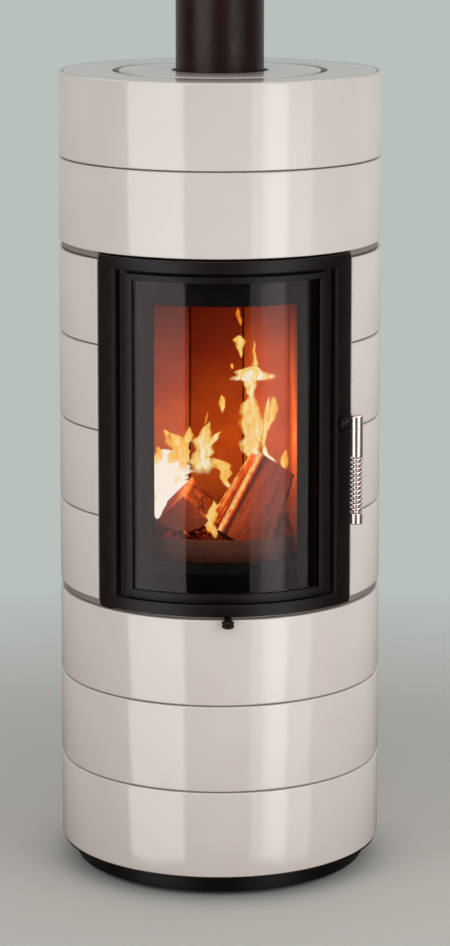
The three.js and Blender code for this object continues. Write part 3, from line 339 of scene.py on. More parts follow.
# %% Split beech
# the split faces' colours: the beech's own brown with the red of the firelight painted in
WOOD_WITH_PAINTED_FIRELIGHT, WOOD_PALE_WITH_PAINTED_FIRELIGHT = "#7a2e1c", "#c46a48"
CHAR, CHAR_PALE = "#0d0605", "#2a130c"
WOOD_GRAIN, GRAIN_DEPTH, EMBER_PATCH = 5 * MM, 0.8 * MM, 9 * MM
NO_LIGHT = (0.0, 0.0, 0.0, 1.0)
EMBER_STEPS = [(0.0, 0.45, "#9c1c0a"), (0.35, 0.75, "#f07a22"), (0.7, 1.05, "#ffd488")]


def heat_colours(tree, warmth, colour, steps):
    """The colours of something hot: each step goes over to its own colour while warmth goes from start to end."""
    for start, end, code in steps:
        risen = node(tree, "MapRange", Value=warmth, From_Min=start, From_Max=end)
        colour = node(tree, "Mix", 2, RGBA, _0=risen, _6=colour, _7=linear(code))
    return colour


def split_beech(tree, place):
    """To the eye: torn red fibres, whose red is partly painted firelight, black where charred, with uneven embers along
    the edges.
    """
    grain = node(tree, "TexNoise", Vector=place, Scale=1 / WOOD_GRAIN, Detail=6.0, Roughness=0.6)
    tone = node(tree, "Attribute", "Fac", {"attribute_name": "tone"})
    char = node(tree, "Mix", 2, RGBA, _0=grain, _6=linear(CHAR), _7=linear(CHAR_PALE))
    # the split faces, whose colour carries painted firelight
    wood_with_painted_firelight = node(tree, "Mix", 2, RGBA, _0=grain, _6=linear(WOOD_WITH_PAINTED_FIRELIGHT), _7=linear(WOOD_PALE_WITH_PAINTED_FIRELIGHT))
    colour = node(tree, "Mix", 2, RGBA, _0=tone, _6=char, _7=wood_with_painted_firelight)
    glow = node(tree, "Attribute", "Fac", {"attribute_name": "glow"})
    ember = node(tree, "TexNoise", Vector=place, Scale=1 / EMBER_PATCH, Detail=4.0, Roughness=0.6)
    flicker = node(tree, "MapRange", Value=ember, From_Min=0.3, From_Max=0.7, To_Min=0.55, To_Max=1.25)
    warmth = node(tree, "Math", 0, {"operation": "MULTIPLY"}, _0=glow, _1=flicker)
    return node(
        tree, "BsdfPrincipled", Base_Color=colour, Roughness=0.85,
        Normal=node(tree, "Bump", Height=grain, Distance=GRAIN_DEPTH),
        Emission_Color=heat_colours(tree, warmth, NO_LIGHT, EMBER_STEPS), Emission_Strength=1.0,
    )


finish["log_bark"] = made_of("split_beech", split_beech)

# %% [markdown]
# ## Finishes for the frame's own pieces
#
# Brackets, walls and the grate are right as they come from the frame, so they only get their finish. Pieces that are
# round or that show their edges are made again below, with fine surfaces that stand for the coarse ones.

# %% Finish every node by its slot
node_slot = {part["node"]: part["material_slot"] for part in frame["record"]["subparts"]}
for name, thing in frame["nodes"].items():
    thing.data.materials.clear()
    thing.data.materials.append(finish[node_slot[name]])
body_of_node = {
    member: body for body, members in frame["record"]["behaviour"]["bodies"].items() for member in members
}
print("slots:", sorted(set(node_slot.values())))

# %% [markdown]
# ## From a grid of points to a piece
#
# A surface could be drawn with edit tools and modifiers. Here every new one is a grid of points worked out with numpy,
# which is exact and quick. One function joins the grid's neighbours into quads, and one makes the mesh, turns it right
# side out and lets it ride on its body. The sign of the volume tells which way the faces point.

# %% Mesh helpers
SHARP = math.radians(35)


def quads(rows, columns, wrap_rows=False, wrap_columns=True):
    """Quads of a grid of points stored row by row: point (i, j) joins (i, j+1), (i+1, j+1) and (i+1, j)."""
    i = np.arange(rows if wrap_rows else rows - 1)[:, None]
    j = np.arange(columns if wrap_columns else columns - 1)[None, :]
    next_i, next_j = (i + 1) % rows, (j + 1) % columns
    corners = [i * columns + j, i * columns + next_j, next_i * columns + next_j, next_i * columns + j]
    return np.stack(corners, -1).reshape(-1, 4).tolist()


def end_caps(rows, columns):
    """The two faces that close a tube of so many rows, each of so many points."""
    last = (rows - 1) * columns
    return [list(range(columns))[::-1], [last + k for k in range(columns)]]


def volume(points, faces):
    """Signed volume: the sum over triangles of a . (b x c) / 6, positive where the faces point outwards."""
    total = 0.0
    for size in {len(face) for face in faces}:
        ring = points[np.array([face for face in faces if len(face) == size])]
        for k in range(1, size - 1):
            total += np.einsum("ij,ij->", ring[:, 0], np.cross(ring[:, k], ring[:, k + 1])) / 6
    return total


def piece(name, points, faces, slot, stands_for, body=None, paint=None, values=None):
    """Makes one mesh piece of that slot's finish, or of another finish of the same kind. It stands for its nodes and
    rides on their body. values are numbers that its points carry for its material."""
    points = np.asarray(points, float).reshape(-1, 3)
    if volume(points, faces) < 0:
        faces = [face[::-1] for face in faces]
    mesh = bpy.data.meshes.new(name)
    mesh.from_pydata(points.tolist(), [], faces)
    mesh.shade_smooth()
    mesh.set_sharp_from_angle(angle=SHARP)
    mesh.materials.append(finish[paint or slot])
    for key, numbers in (values or {}).items():
        mesh.attributes.new(key, "FLOAT", "POINT").data.foreach_set("value", np.ravel(numbers).astype(np.float32))
    thing = bpy.data.objects.new(name, mesh)
    bpy.context.scene.collection.objects.link(thing)
    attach(thing, body or body_of_node[stands_for[0]])
    if stands_for:
        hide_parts(*stands_for)
    print(f"{name}: {len(faces)} faces")
    return thing


print("quads of a tube of 3 rings of 4 points:", len(quads(3, 4)))

# %% [markdown]
# ## Outlines and rings
#
# Most of the stove is turned: an outline in radius and height is carried round the upright axis. The Spin and Bevel
# tools could do it. Here the outline's corners are rounded first, each by its own radius, because the width of the
# soft arris is what catches the light.


# %% Outlines
def polar(azimuth, radius, height):
    """Azimuth in degrees from the front (-Y) towards +X: (r sin a, -r cos a, z)."""
    a, r, z = np.broadcast_arrays(np.radians(azimuth), radius, height)
    return np.stack([r * np.sin(a), -r * np.cos(a), z], -1)


def span(name):
    """Lowest and highest height of a node."""
    low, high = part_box(name)
    return low.z, high.z


def rounded(corners, radii, steps=5):
    """A closed outline with rounded corners. Each corner becomes an arc that meets both edges at
    radius / tan(half the corner's angle) from it. The arc runs by spherical interpolation about its centre."""
    corners = np.asarray(corners, float)
    made = []
    for k, (corner, radius) in enumerate(zip(corners, radii)):
        if radius == 0:
            made.append(corner[None])
            continue
        back = corners[k - 1] - corner
        ahead = corners[(k + 1) % len(corners)] - corner
        back, ahead = back / np.linalg.norm(back), ahead / np.linalg.norm(ahead)
        half = math.acos(np.clip(back @ ahead, -1, 1)) / 2
        middle = (back + ahead) / np.linalg.norm(back + ahead)
        centre = corner + middle * radius / math.sin(half)
        start = corner + back * radius / math.tan(half) - centre
        end = corner + ahead * radius / math.tan(half) - centre
        sweep = math.pi - 2 * half
        t = np.linspace(0, 1, steps)[:, None]
        made.append(centre + (np.sin((1 - t) * sweep) * start + np.sin(t * sweep) * end) / math.sin(sweep))
    return np.concatenate(made)


def slab(inner, outer, low, high, radii):
    """Outline of a flat ring. The radii go round from its inner lower corner."""
    return rounded([(inner, low), (outer, low), (outer, high), (inner, high)], radii)


print("points of a slab with four soft corners:", len(slab(1, 2, 0, 1, [0.1] * 4)))

# %% Rings
END_STEPS = 6


def full_ring(outline, step=1.0):
    """Turns a closed outline of (radius, height) a full circle about the upright axis."""
    azimuth = np.arange(0, 360, step)[:, None]
    points = polar(azimuth, outline[None, :, 0], outline[None, :, 1])
    return points, quads(len(azimuth), len(outline), wrap_rows=True)


def ring_arc(outline, start, end, end_round):
    """Turns a closed outline from one azimuth to another, with rounded ends: at a distance s from an end the outline
    is drawn in by e - sqrt(e^2 - (e - s)^2), towards its middle height and its inner radius."""
    outer = outline[:, 0].max()
    reach = np.degrees(end_round / outer)
    ease = reach * (1 - np.cos(np.linspace(0, np.pi / 2, END_STEPS)))
    between_ends = np.linspace(start + reach, end - reach, max(2, round(end - start)))[1:-1]
    azimuth = np.concatenate([start + ease, between_ends, (end - ease)[::-1]])
    s = np.minimum(azimuth - start, end - azimuth) * outer * np.pi / 180
    draw = end_round - np.sqrt(np.maximum(end_round**2 - (end_round - np.minimum(s, end_round)) ** 2, 0))
    low_r, low_z, high_z = outline[:, 0].min(), outline[:, 1].min(), outline[:, 1].max()
    middle = (low_z + high_z) / 2
    r = low_r + (outline[None, :, 0] - low_r) * (1 - draw / (outer - low_r))[:, None]
    z = middle + (outline[None, :, 1] - middle) * (1 - 2 * draw / (high_z - low_z))[:, None]
    points = polar(azimuth[:, None], r, z)
    return points, quads(len(azimuth), len(outline)) + end_caps(len(azimuth), len(outline))


print("faces of a full ring:", len(full_ring(slab(1, 2, 0, 1, [0.1] * 4))[1]))

# %% [markdown]
# ## The ceramic courses
#
# Each course is one cast ring with softened arrises, and a lip inside its top that carries the next course clear of a
# narrow open joint. Beside the door the courses are two half rings. A plain cylinder with painted lines would be
# quicker, but the joints are real gaps with shadow in them. A step of one degree mirrors the lamps without facets.

# %% Courses
BODY_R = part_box("upper_ring_1")[1].x
WALL = 28 * MM
INNER_R = BODY_R - WALL
ARRIS, SMALL_ARRIS = 2.6 * MM, 0.6 * MM
LIP_W, LIP_RISE = 12 * MM, 2.2 * MM
DOOR_SIDE, REAR_SIDE = 50.5, 150.0
COURSE_END = 2 * MM


def course_outline(low, high):
    """A wall with a lip: from the inner lower corner out to the face, up to the shoulder, in to the lip and up it."""
    shoulder = high - LIP_RISE
    corners = [
        (INNER_R, low), (BODY_R, low), (BODY_R, shoulder),
        (INNER_R + LIP_W, shoulder), (INNER_R + LIP_W, high), (INNER_R, high),
    ]
    return rounded(corners, [SMALL_ARRIS, ARRIS, ARRIS, SMALL_ARRIS, SMALL_ARRIS, SMALL_ARRIS])


def add_courses():
    """The outline of each course, between its node's heights, turned over the course's own arc."""
    arcs = [(f"lower_ring_{n}", -REAR_SIDE, REAR_SIDE) for n in (1, 2, 3)]
    for n in (1, 2, 3, 4):
        arcs += [(f"side_tile_left_{n}", -REAR_SIDE, -DOOR_SIDE), (f"side_tile_right_{n}", DOOR_SIDE, REAR_SIDE)]
    for name, start, end in arcs:
        points, faces = ring_arc(course_outline(*span(name)), start, end, COURSE_END)
        piece(f"ceramic_{name}", points, faces, "glazed_ceramic", [name])
    points, faces = full_ring(course_outline(*span("upper_ring_1")))
    piece("ceramic_upper_ring_1", points, faces, "glazed_ceramic", ["upper_ring_1"])


add_courses()

# %% [markdown]
# ## The top
#
# The top course has a thin rim. Inside it lies a ring plate and, past an open convection groove, a centre plate
# around the flue. One disc could stand for both, but air rises through the groove, which shows as a dark line. They
# are flat glazed slabs, so at this low angle they mirror the pipe and the backdrop.

# %% Top course and plates
RIM, RIM_ARRIS = 7 * MM, 1.2 * MM
GROOVE_R, GROOVE_W = 183 * MM, 11 * MM
FLUE_HOLE_R = 82 * MM
CLEAR = 0.3 * MM  # the gap between pieces that lie on each other
PLATE_RADII = [0.5 * MM, 0.5 * MM, 1.6 * MM, 1.6 * MM]


def add_top():
    """The top course steps down behind its rim to the seat of the plates, and the plates are flat rings."""
    low, high = span("upper_ring_2")
    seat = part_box("top_spider")[0].z - CLEAR
    rebate = BODY_R - RIM
    corners = [(INNER_R, low), (BODY_R, low), (BODY_R, high), (rebate, high), (rebate, seat), (INNER_R, seat)]
    outline = rounded(corners, [SMALL_ARRIS, ARRIS, ARRIS, RIM_ARRIS, SMALL_ARRIS, SMALL_ARRIS])
    piece("ceramic_upper_ring_2", *full_ring(outline), "glazed_ceramic", ["upper_ring_2"])
    for name, inner, outer in (
        ("top_ring_plate", GROOVE_R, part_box("top_ring_plate")[1].x),
        ("centre_plate", FLUE_HOLE_R, GROOVE_R - GROOVE_W),
    ):
        points, faces = full_ring(slab(inner, outer, *span(name), PLATE_RADII))
        piece(f"ceramic_{name}", points, faces, "glazed_ceramic", [name])


add_top()

# %% [markdown]
# ## The flue
#
# The flue is a painted steel pipe, 150 mm across. A ready-made cylinder would be solid. This is a tube with its real
# wall, because its upper end is open.

# %% Flue
FLUE_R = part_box("flue_pipe")[1].x
FLUE_T = 2 * MM
FLUE_RADII = [0.5 * MM, 0.5 * MM, 0.6 * MM, 0.6 * MM]


def add_flue():
    """A flat ring as wide as the pipe's wall and as high as the pipe."""
    outline = slab(FLUE_R - FLUE_T, FLUE_R, *span("flue_pipe"), FLUE_RADII)
    piece("flue_pipe_tube", *full_ring(outline, 2.0), "black_steel", ["flue_pipe"], paint="pipe_paint")


add_flue()

# %% [markdown]
# ## Edges of the stand and the carriers
#
# Under the lowest ring stands a base plate with a set back skirt. The carriers are plates below and above the door,
# of which only the edges show, as dark bands. All are drilled and cut inside, where nobody looks. So their solids stay,
# and only a thin ring with a soft edge is laid over each round rim.

# %% Edges of the stand and the carriers
PLATE_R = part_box("pedestal")[1].x
SKIRT_R, SKIRT_T = 249 * MM, 3 * MM
PROUD = 0.2 * MM
CARRIER_IN, CARRIER_OUT = 262 * MM, 270.3 * MM
BESIDE_DOOR, CARRIER_END = 50.8, 1 * MM
EDGE_RADII = [0.3 * MM, 0.8 * MM, 0.8 * MM, 0.3 * MM]


def add_edges():
    """Flat rings: full circles on the stand, and arcs that leave out the door on the carriers."""
    for name, inner, outer, low, high in (
        ("base_plate_rim", PLATE_R - 30 * MM, PLATE_R + PROUD, 36.8 * MM, 41.1 * MM),
        ("skirt_face", SKIRT_R - SKIRT_T, SKIRT_R + PROUD, 7.8 * MM, 37.5 * MM),
    ):
        piece(name, *full_ring(slab(inner, outer, low, high, EDGE_RADII)), "black_steel", [], "stove")
    for name, low, high in (
        ("lower_carrier_rim", span("lower_carrier")[0], 494.6 * MM), ("upper_carrier_rim", *span("upper_carrier")),
    ):
        outline = slab(CARRIER_IN, CARRIER_OUT, low, high, EDGE_RADII)
        arc = ring_arc(outline, BESIDE_DOOR, 360 - BESIDE_DOOR, CARRIER_END)
        piece(name, *arc, "grey_steel", [], "stove")


add_edges()

# %% [markdown]
# ## The air knob
#
# The air lever ends in a small turned knob under the door, with a waist for the fingertips. A bevelled cylinder would
# lose the waist, so it is turned from an outline, like on a lathe.


# %% Air knob
def turned(outline, steps=48, centre=(0.0, 0.0)):
    """A solid turned about an upright axis at centre. The outline starts and ends on the axis, and its two ends are
    closed by fans of triangles."""
    t = np.arange(steps)[:, None] * 2 * np.pi / steps
    r, z = outline[None, 1:-1, 0], outline[None, 1:-1, 1]
    ring = np.stack([centre[0] + r * np.cos(t), centre[1] + r * np.sin(t), z + 0 * t], -1)
    m = r.shape[1]
    poles = np.array([[*centre, outline[0, 1]], [*centre, outline[-1, 1]]])
    points = np.concatenate([ring.reshape(-1, 3), poles])
    i = np.arange(steps)
    after = (i + 1) % steps
    first = np.stack([np.full(steps, steps * m), i * m, after * m], -1)
    final = np.stack([np.full(steps, steps * m + 1), after * m + m - 1, i * m + m - 1], -1)
    faces = quads(steps, m, wrap_rows=True, wrap_columns=False)
    return points, [face[::-1] for face in faces] + first.tolist() + final.tolist()


def centre_of(name):
    """Where a node's box has its middle, seen from above."""
    low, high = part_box(name)
    return (low.x + high.x) / 2, (low.y + high.y) / 2


KNOB_BEVEL_W, KNOB_BEVEL_H, KNOB_WAIST = 3 * MM, 2 * MM, 1.2 * MM


def add_knob():
    """Turned from an outline with a bevel at both ends and a waist halfway up."""
    low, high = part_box("air_knob")
    radius = (high.x - low.x) / 2
    face = radius - KNOB_BEVEL_W
    corners = [
        (0, low.z), (face, low.z), (radius, low.z + KNOB_BEVEL_H), (radius - KNOB_WAIST, (low.z + high.z) / 2),
        (radius, high.z - KNOB_BEVEL_H), (face, high.z), (0, high.z),
    ]
    outline = rounded(corners, [0, 1 * MM, 1.2 * MM, 2 * MM, 1.2 * MM, 1 * MM, 0])
    piece("air_knob_turned", *turned(outline, 64, centre_of("air_knob")), "black_steel", ["air_knob"])


add_knob()

# %% [markdown]
# ## Frames on a cylinder
#
# The door, its glass frame and their seals are all frames bent to the stove's curve. They could be modelled flat and
# bent by a modifier, which would stretch their sections. Instead each is drawn as nested rounded rectangles on a
# cylinder, with the same number of points, joined one to the next. The section of the frame gives each rectangle its
# inset and its radius.

# %% Frame helpers
ACROSS, UP, CORNER_STEPS = 110, 20, 7
LEAST_CORNER = 0.4 * MM


def rectangle_on_cylinder(half, low, high, corner, radius):
    """Azimuth and height of points round a rectangle with circular corners, drawn on a cylinder."""
    c = np.degrees(corner / radius)
    arcs = np.radians(np.linspace(-90, 0, CORNER_STEPS + 2)[1:-1])
    side, rise = np.linspace(-1, 1, ACROSS), np.linspace(-1, 1, UP)
    centre, tall = (low + high) / 2, (high - low) / 2
    parts = []
    for k, (x_sign, z_sign) in enumerate([(1, -1), (1, 1), (-1, 1), (-1, -1)]):
        angle = arcs + k * np.pi / 2
        if k % 2 == 0:
            parts.append(np.stack([side * (half - c) * x_sign, np.full(ACROSS, centre + tall * z_sign)], -1))
        else:
            parts.append(np.stack([np.full(UP, half * x_sign), centre + rise * (tall - corner) * z_sign], -1))
        corner_x = (half - c) * x_sign + c * np.cos(angle)
        corner_z = centre + (tall - corner) * z_sign + corner * np.sin(angle)
        parts.append(np.stack([corner_x, corner_z], -1))
    return np.concatenate(parts)


def curved_frame(section, half, low, high, insets, corner):
    """One rounded rectangle for each (inset, radius) point round the frame's section, each joined to the next. insets
    maps an inset at the frame's sides to those at its lower and upper edge. Returns points and faces."""
    keys, rails_low, rails_high = np.array(insets).T
    loops = []
    for inset, radius in section:
        down, up = np.interp(inset, keys, rails_low), np.interp(inset, keys, rails_high)
        edge = half - np.degrees(inset / radius)
        own_corner = max(corner - inset, LEAST_CORNER)
        azimuth, height = rectangle_on_cylinder(edge, low + down, high - up, own_corner, radius).T
        loops.append(polar(azimuth, radius, height))
    grid = np.stack(loops, 1)
    return grid, quads(grid.shape[0], grid.shape[1], wrap_rows=True)


def flat_section(width, outer, thickness, radii, steps=5):
    """Section of a flat frame in (inset, radius): a rectangle, inwards from its outer radius by its thickness."""
    inner = outer - thickness
    return rounded([(0, inner), (0, outer), (width, outer), (width, inner)], radii, steps)


print("points round a frame:", len(rectangle_on_cylinder(40, 0, 1, 0.01, 0.27)))

# %% [markdown]
# ## The door
#
# The door is a deep frame, curved like the sleeve, flush with it and set in a narrow joint. Its window steps back to
# a pocket that holds a second, flat steel frame over the glass. Both could be one frame with a groove cut in. They are
# two here, as on the real door, so the shadow between them is a true gap.

# %% Door, glass frame and glass
DOOR_EDGE, POCKET_EDGE, WINDOW_EDGE = 49.9, 42.1, 35.5
DOOR_T, POCKET_DEPTH = 25 * MM, 13 * MM
RAIL, WINDOW_RAIL = 20.5 * MM, 36 * MM
DOOR_CORNER, LEAF_CORNER, EVEN_EDGE = 5 * MM, 2 * MM, 4 * MM
LEAF_EDGE, LEAF_INNER, LEAF_H, LEAF_T = 39.5, 35.0, 10.5 * MM, 3 * MM
TAPE_T, GLASS_T, GLASS_EDGE = 1.4 * MM, 4 * MM, 38.5
TAPE_R = BODY_R - POCKET_DEPTH + CLEAR + TAPE_T
GLASS_R = TAPE_R + CLEAR + GLASS_T
LEAF_R = GLASS_R + CLEAR + LEAF_T


def arc_length(degrees, radius):
    """Angle in radians times radius."""
    return math.radians(degrees) * radius


def add_door():
    """The section goes from the back over the face, down into the pocket and on to the window. Its widths are arc
    lengths, because the frame is measured round its curve."""
    stile = arc_length(DOOR_EDGE - POCKET_EDGE, BODY_R)
    window = arc_length(DOOR_EDGE - WINDOW_EDGE, BODY_R)
    back, pocket = BODY_R - DOOR_T, BODY_R - POCKET_DEPTH
    corners = [(0, back), (0, BODY_R), (stile, BODY_R), (stile, pocket), (window, pocket), (window, back)]
    section = rounded(corners, [0.8 * MM, 1.6 * MM, 1.2 * MM, 0.6 * MM, 0.8 * MM, 0.8 * MM])
    insets = [(0, 0, 0), (EVEN_EDGE,) * 3, (stile, RAIL, RAIL), (window, WINDOW_RAIL, WINDOW_RAIL)]
    points, faces = curved_frame(section, DOOR_EDGE, *span("door_frame"), insets, DOOR_CORNER)
    piece("door_frame_curved", points, faces, "black_steel", ["door_frame"], paint="door_paint")


def add_glass():
    """A flat curved frame, and behind it a pane that is an arc of even thickness."""
    width = arc_length(LEAF_EDGE - LEAF_INNER, LEAF_R)
    section = flat_section(width, LEAF_R, LEAF_T, [0.4 * MM, 1.0 * MM, 1.0 * MM, 0.4 * MM])
    insets = [(0, 0, 0), (width, LEAF_H, LEAF_H)]
    points, faces = curved_frame(section, LEAF_EDGE, *span("glass_frame"), insets, LEAF_CORNER)
    piece("glass_frame_curved", points, faces, "black_steel", ["glass_frame"], paint="door_paint")
    outline = slab(GLASS_R - GLASS_T, GLASS_R, *span("door_glass"), [0.5 * MM] * 4)
    points, faces = ring_arc(outline, -GLASS_EDGE, GLASS_EDGE, 0.5 * MM)
    piece("door_glass_pane", points, faces, "door_glass", ["door_glass"])


add_door()
add_glass()

# %% [markdown]
# ## The seals
#
# A rope runs round the back of the door and a flat tape round the glass. Each could be a curve with a bevel, but a
# pressed rope is flat where it touches, so they are frames too, with a flattened round section.

# %% Seals
ROPE_CORNER, ROPE_SOFT = 8 * MM, 0.42


def add_seals():
    """Frames whose section is a rectangle with its corners rounded by 0.42 of its thickness. A row gives half width,
    outer radius, thickness, and the section's width at the sides, in degrees, and above and below."""
    for name, half, outer, deep, wide, rail in (
        ("door_seal", 40.5, BODY_R - DOOR_T - CLEAR, 3.7 * MM, 2.2, 8 * MM),
        ("glass_seal", GLASS_EDGE, TAPE_R, TAPE_T, 2.0, 6 * MM),
    ):
        across = arc_length(wide, outer)
        section = flat_section(across, outer, deep, [deep * ROPE_SOFT] * 4, 6)
        points, faces = curved_frame(section, half, *span(name), [(0, 0, 0), (across, rail, rail)], ROPE_CORNER)
        piece(f"{name}_rope", points, faces, "seal_rope", [name])


add_seals()

# %% [markdown]
# ## The grip
#
# The grip is a polished sleeve, an open coil of steel wire that stays cool, and an end cap, on one core. Stacked rings
# would look like the coil from afar. It is one wire, though, so it is a helix: its centre line climbs evenly while it
# goes round, and a circle is carried along it.

# %% Grip
COIL_R, WIRE_R, COIL_TURNS = 8.6 * MM, 2 * MM, 12
COIL_STEPS, COIL_SIDES = 28, 12
CORE_R = 5.5 * MM
SOFT_END, TIGHT_END = 2 * MM, 0.8 * MM


def round_cap(radius, low, high, bottom, top):
    """Outline of a turned pin with rounded ends, from axis to axis."""
    return rounded([(0, low), (radius, low), (radius, high), (0, high)], [0, bottom, top, 0], 6)


def helix(centre, low, high, radius, wire, turns):
    """Centre line (R cos t, R sin t, z) with z rising evenly. The section is a circle in the plane of the outward
    direction and its cross product with the tangent."""
    t = np.linspace(0, turns * 2 * np.pi, turns * COIL_STEPS + 1)[:, None]
    out = np.concatenate([np.cos(t), np.sin(t), 0 * t], -1)
    pitch = (high - low - 2 * wire) / (turns * 2 * np.pi)
    tangent = np.concatenate([-radius * np.sin(t), radius * np.cos(t), pitch + 0 * t], -1)
    tangent /= np.linalg.norm(tangent, axis=1, keepdims=True)
    up = np.cross(out, tangent)
    line = out * radius + np.array([*centre, 0.0]) + np.concatenate([0 * t, 0 * t, low + wire + pitch * t], -1)
    s = np.arange(COIL_SIDES)[None, :, None] * 2 * np.pi / COIL_SIDES
    points = line[:, None] + wire * (np.cos(s) * out[:, None] + np.sin(s) * up[:, None])
    return points, quads(len(t), COIL_SIDES) + end_caps(len(t), COIL_SIDES)


def add_grip():
    """Sleeve and cap are turned pins with one soft and one tight end, and the coil fills the height between them."""
    low, high = span("handle_spring")
    for name, base, bottom, top in (
        ("handle_grip", high + CLEAR, TIGHT_END, SOFT_END),
        ("handle_cap", span("handle_cap")[0], SOFT_END, TIGHT_END),
    ):
        lowest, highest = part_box(name)
        outline = round_cap((highest.x - lowest.x) / 2, base, highest.z, bottom, top)
        piece(f"{name}_polished", *turned(outline, 64, centre_of(name)), "bright_steel", [name])
    centre = centre_of("handle_cap")
    coil = helix(centre, low, high, COIL_R, WIRE_R, COIL_TURNS)
    piece("handle_coil", *coil, "bright_steel", ["handle_spring"])
    core = turned(round_cap(CORE_R, low, high, 0.2 * MM, 0.2 * MM), 32, centre)
    piece("handle_core", *core, "bright_steel", [], "handle")


add_grip()

# %% [markdown]
# ## The spindle
#
# The grip turns on a level spindle that comes through the door, with a boss against the door's face. It could be two
# plain cylinders. It is turned from one outline, because the boss has a soft shoulder that catches a highlight.

# %% Spindle
HANDLE_AZIMUTH, SPINDLE_HEIGHT = math.radians(45.6), 793 * MM
# radius, distance out from the stove's axis and rounding of each corner, in millimetres
SPINDLE = [
    (0, 230, 0), (5, 230, 0.4), (5, 275.6, 0.2), (10.8, 275.6, 0.2), (10.8, 281.2, 1.2),
    (6.5, 282.6, 0.5), (5, 285, 1.0), (5, 301.5, 0.4), (0, 301.5, 0),
]


def add_spindle():
    """Turned about a level axis that points out from the stove: distance out = z, sideways = r cos t, up = r sin t."""
    rows = np.array(SPINDLE) * MM
    points, faces = turned(rounded(rows[:, :2], rows[:, 2]))
    sine, cosine = math.sin(HANDLE_AZIMUTH), math.cos(HANDLE_AZIMUTH)
    out, side, up = np.array([[sine, -cosine, 0], [cosine, sine, 0], [0, 0, 1]])
    placed = points[:, 2:] * out + points[:, :1] * side + points[:, 1:2] * up + SPINDLE_HEIGHT * up
    piece("handle_spindle_turned", placed, faces, "black_steel", ["handle_spindle"], paint="door_paint")


add_spindle()

# %% [markdown]
# ## The lining boards
#
# The walls of the firebox are boards of pressed fireclay. A box with a bevel would be a start, but a pressed board has
# rounder edges towards the fire than behind. So the upright joints between the boards show as dark lines. The middle
# board at the back gets the most soot and painted shade.

# %% Lining boards
BOARD_EDGE, BACK_EDGE = 2 * MM, 0.3 * MM
JOINT_GAP = 1 * MM  # taken off each side of a rear board, so that the joint is open
# each board's extra darkening, partly soot and partly painted shade
EXTRA_SOOT_AND_SHADE = {"rear_lining_2": 0.4, "rear_lining_1": 0.1}


def board(name, cut):
    """A board in the place of its node: its plan is a rectangle with rounded corners, and its upper and lower edges
    are drawn in by e (1 - sin t) while the height goes by e (1 - cos t)."""
    low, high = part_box(name)
    left, right, front, back = low.x + cut, high.x - cut, low.y, high.y
    t = np.linspace(0, np.pi / 2, 5)
    rows = list(zip(BOARD_EDGE * (1 - np.sin(t)), BOARD_EDGE * (1 - np.cos(t))))
    loops = [(draw, low.z + rise) for draw, rise in rows] + [(draw, high.z - rise) for draw, rise in rows[::-1]]
    rings = []
    for draw, z in loops:
        corners = [(left + draw, front + draw), (right - draw, front + draw), (right - draw, back), (left + draw, back)]
        soft = BOARD_EDGE - 0.9 * draw
        ring = rounded(corners, [soft, soft, BACK_EDGE, BACK_EDGE])
        rings.append(np.concatenate([ring, np.full((len(ring), 1), z)], 1))
    points = np.array(rings)
    m, n = points.shape[:2]
    values = {"soot_and_shade": np.full((m, n), EXTRA_SOOT_AND_SHADE.get(name, 0.0))}
    piece(f"{name}_board", points, quads(m, n) + end_caps(m, n), "refractory", [name], values=values)


for name in ("rear_lining_1", "rear_lining_2", "rear_lining_3", "side_lining_left", "side_lining_right", "baffle"):
    board(name, JOINT_GAP if "rear" in name else 0.0)

# %% [markdown]
# ## The log guard
#
# A low curved bar keeps the logs from rolling against the glass. It is a casting, browned by the fire. A bent box
# would have hard edges. An arc made like the courses has a soft upper edge, which catches the firelight.

# %% Log guard
GUARD_R, GUARD_T, GUARD_EDGE = 209 * MM, 4 * MM, 33
GUARD_RADII = [0.4 * MM, 0.4 * MM, 1.5 * MM, 1.5 * MM]
guard_outline = slab(GUARD_R - GUARD_T, GUARD_R, *span("log_retainer"), GUARD_RADII)
guard = ring_arc(guard_outline, -GUARD_EDGE, GUARD_EDGE, 3 * MM)
piece("log_guard", *guard, "cast_iron", ["log_retainer"], paint="browned_iron")

# %% [markdown]
# ## The bed of ash
#
# Ash and embers cover the grate under the logs. Scattered grains would need thousands of pieces. Seen from the front
# the bed is a low lumpy skin, so it is one grid whose height is a smooth random field, and it glows in patches.

# %% Bed of ash
ASH_EDGE, ASH_BACK, ASH_FRONT_R, ASH_LOW = 0.124, 0.12, 0.2045, 0.571
ASH_RISE, ASH_LUMP, ASH_CRUMB = 4 * MM, 3 * MM, 2 * MM
ASH_GRID, ASH_TONE = 90, 0.15


def waves(count, seed, spread, *grids):
    """A smooth random field: the sum of so many sine waves of random direction and phase, over the root of half their
    number. Along each grid there are about spread waves to the grid's own unit."""
    rng = np.random.default_rng(seed)
    total = np.zeros(np.broadcast(*grids).shape)
    for _ in range(count):
        turn = rng.normal(0, 1, len(grids)) * np.array(spread)
        total = total + np.sin(sum(g * k for g, k in zip(grids, turn)) * 2 * np.pi + rng.uniform(0, 2 * np.pi))
    return total / math.sqrt(count / 2)


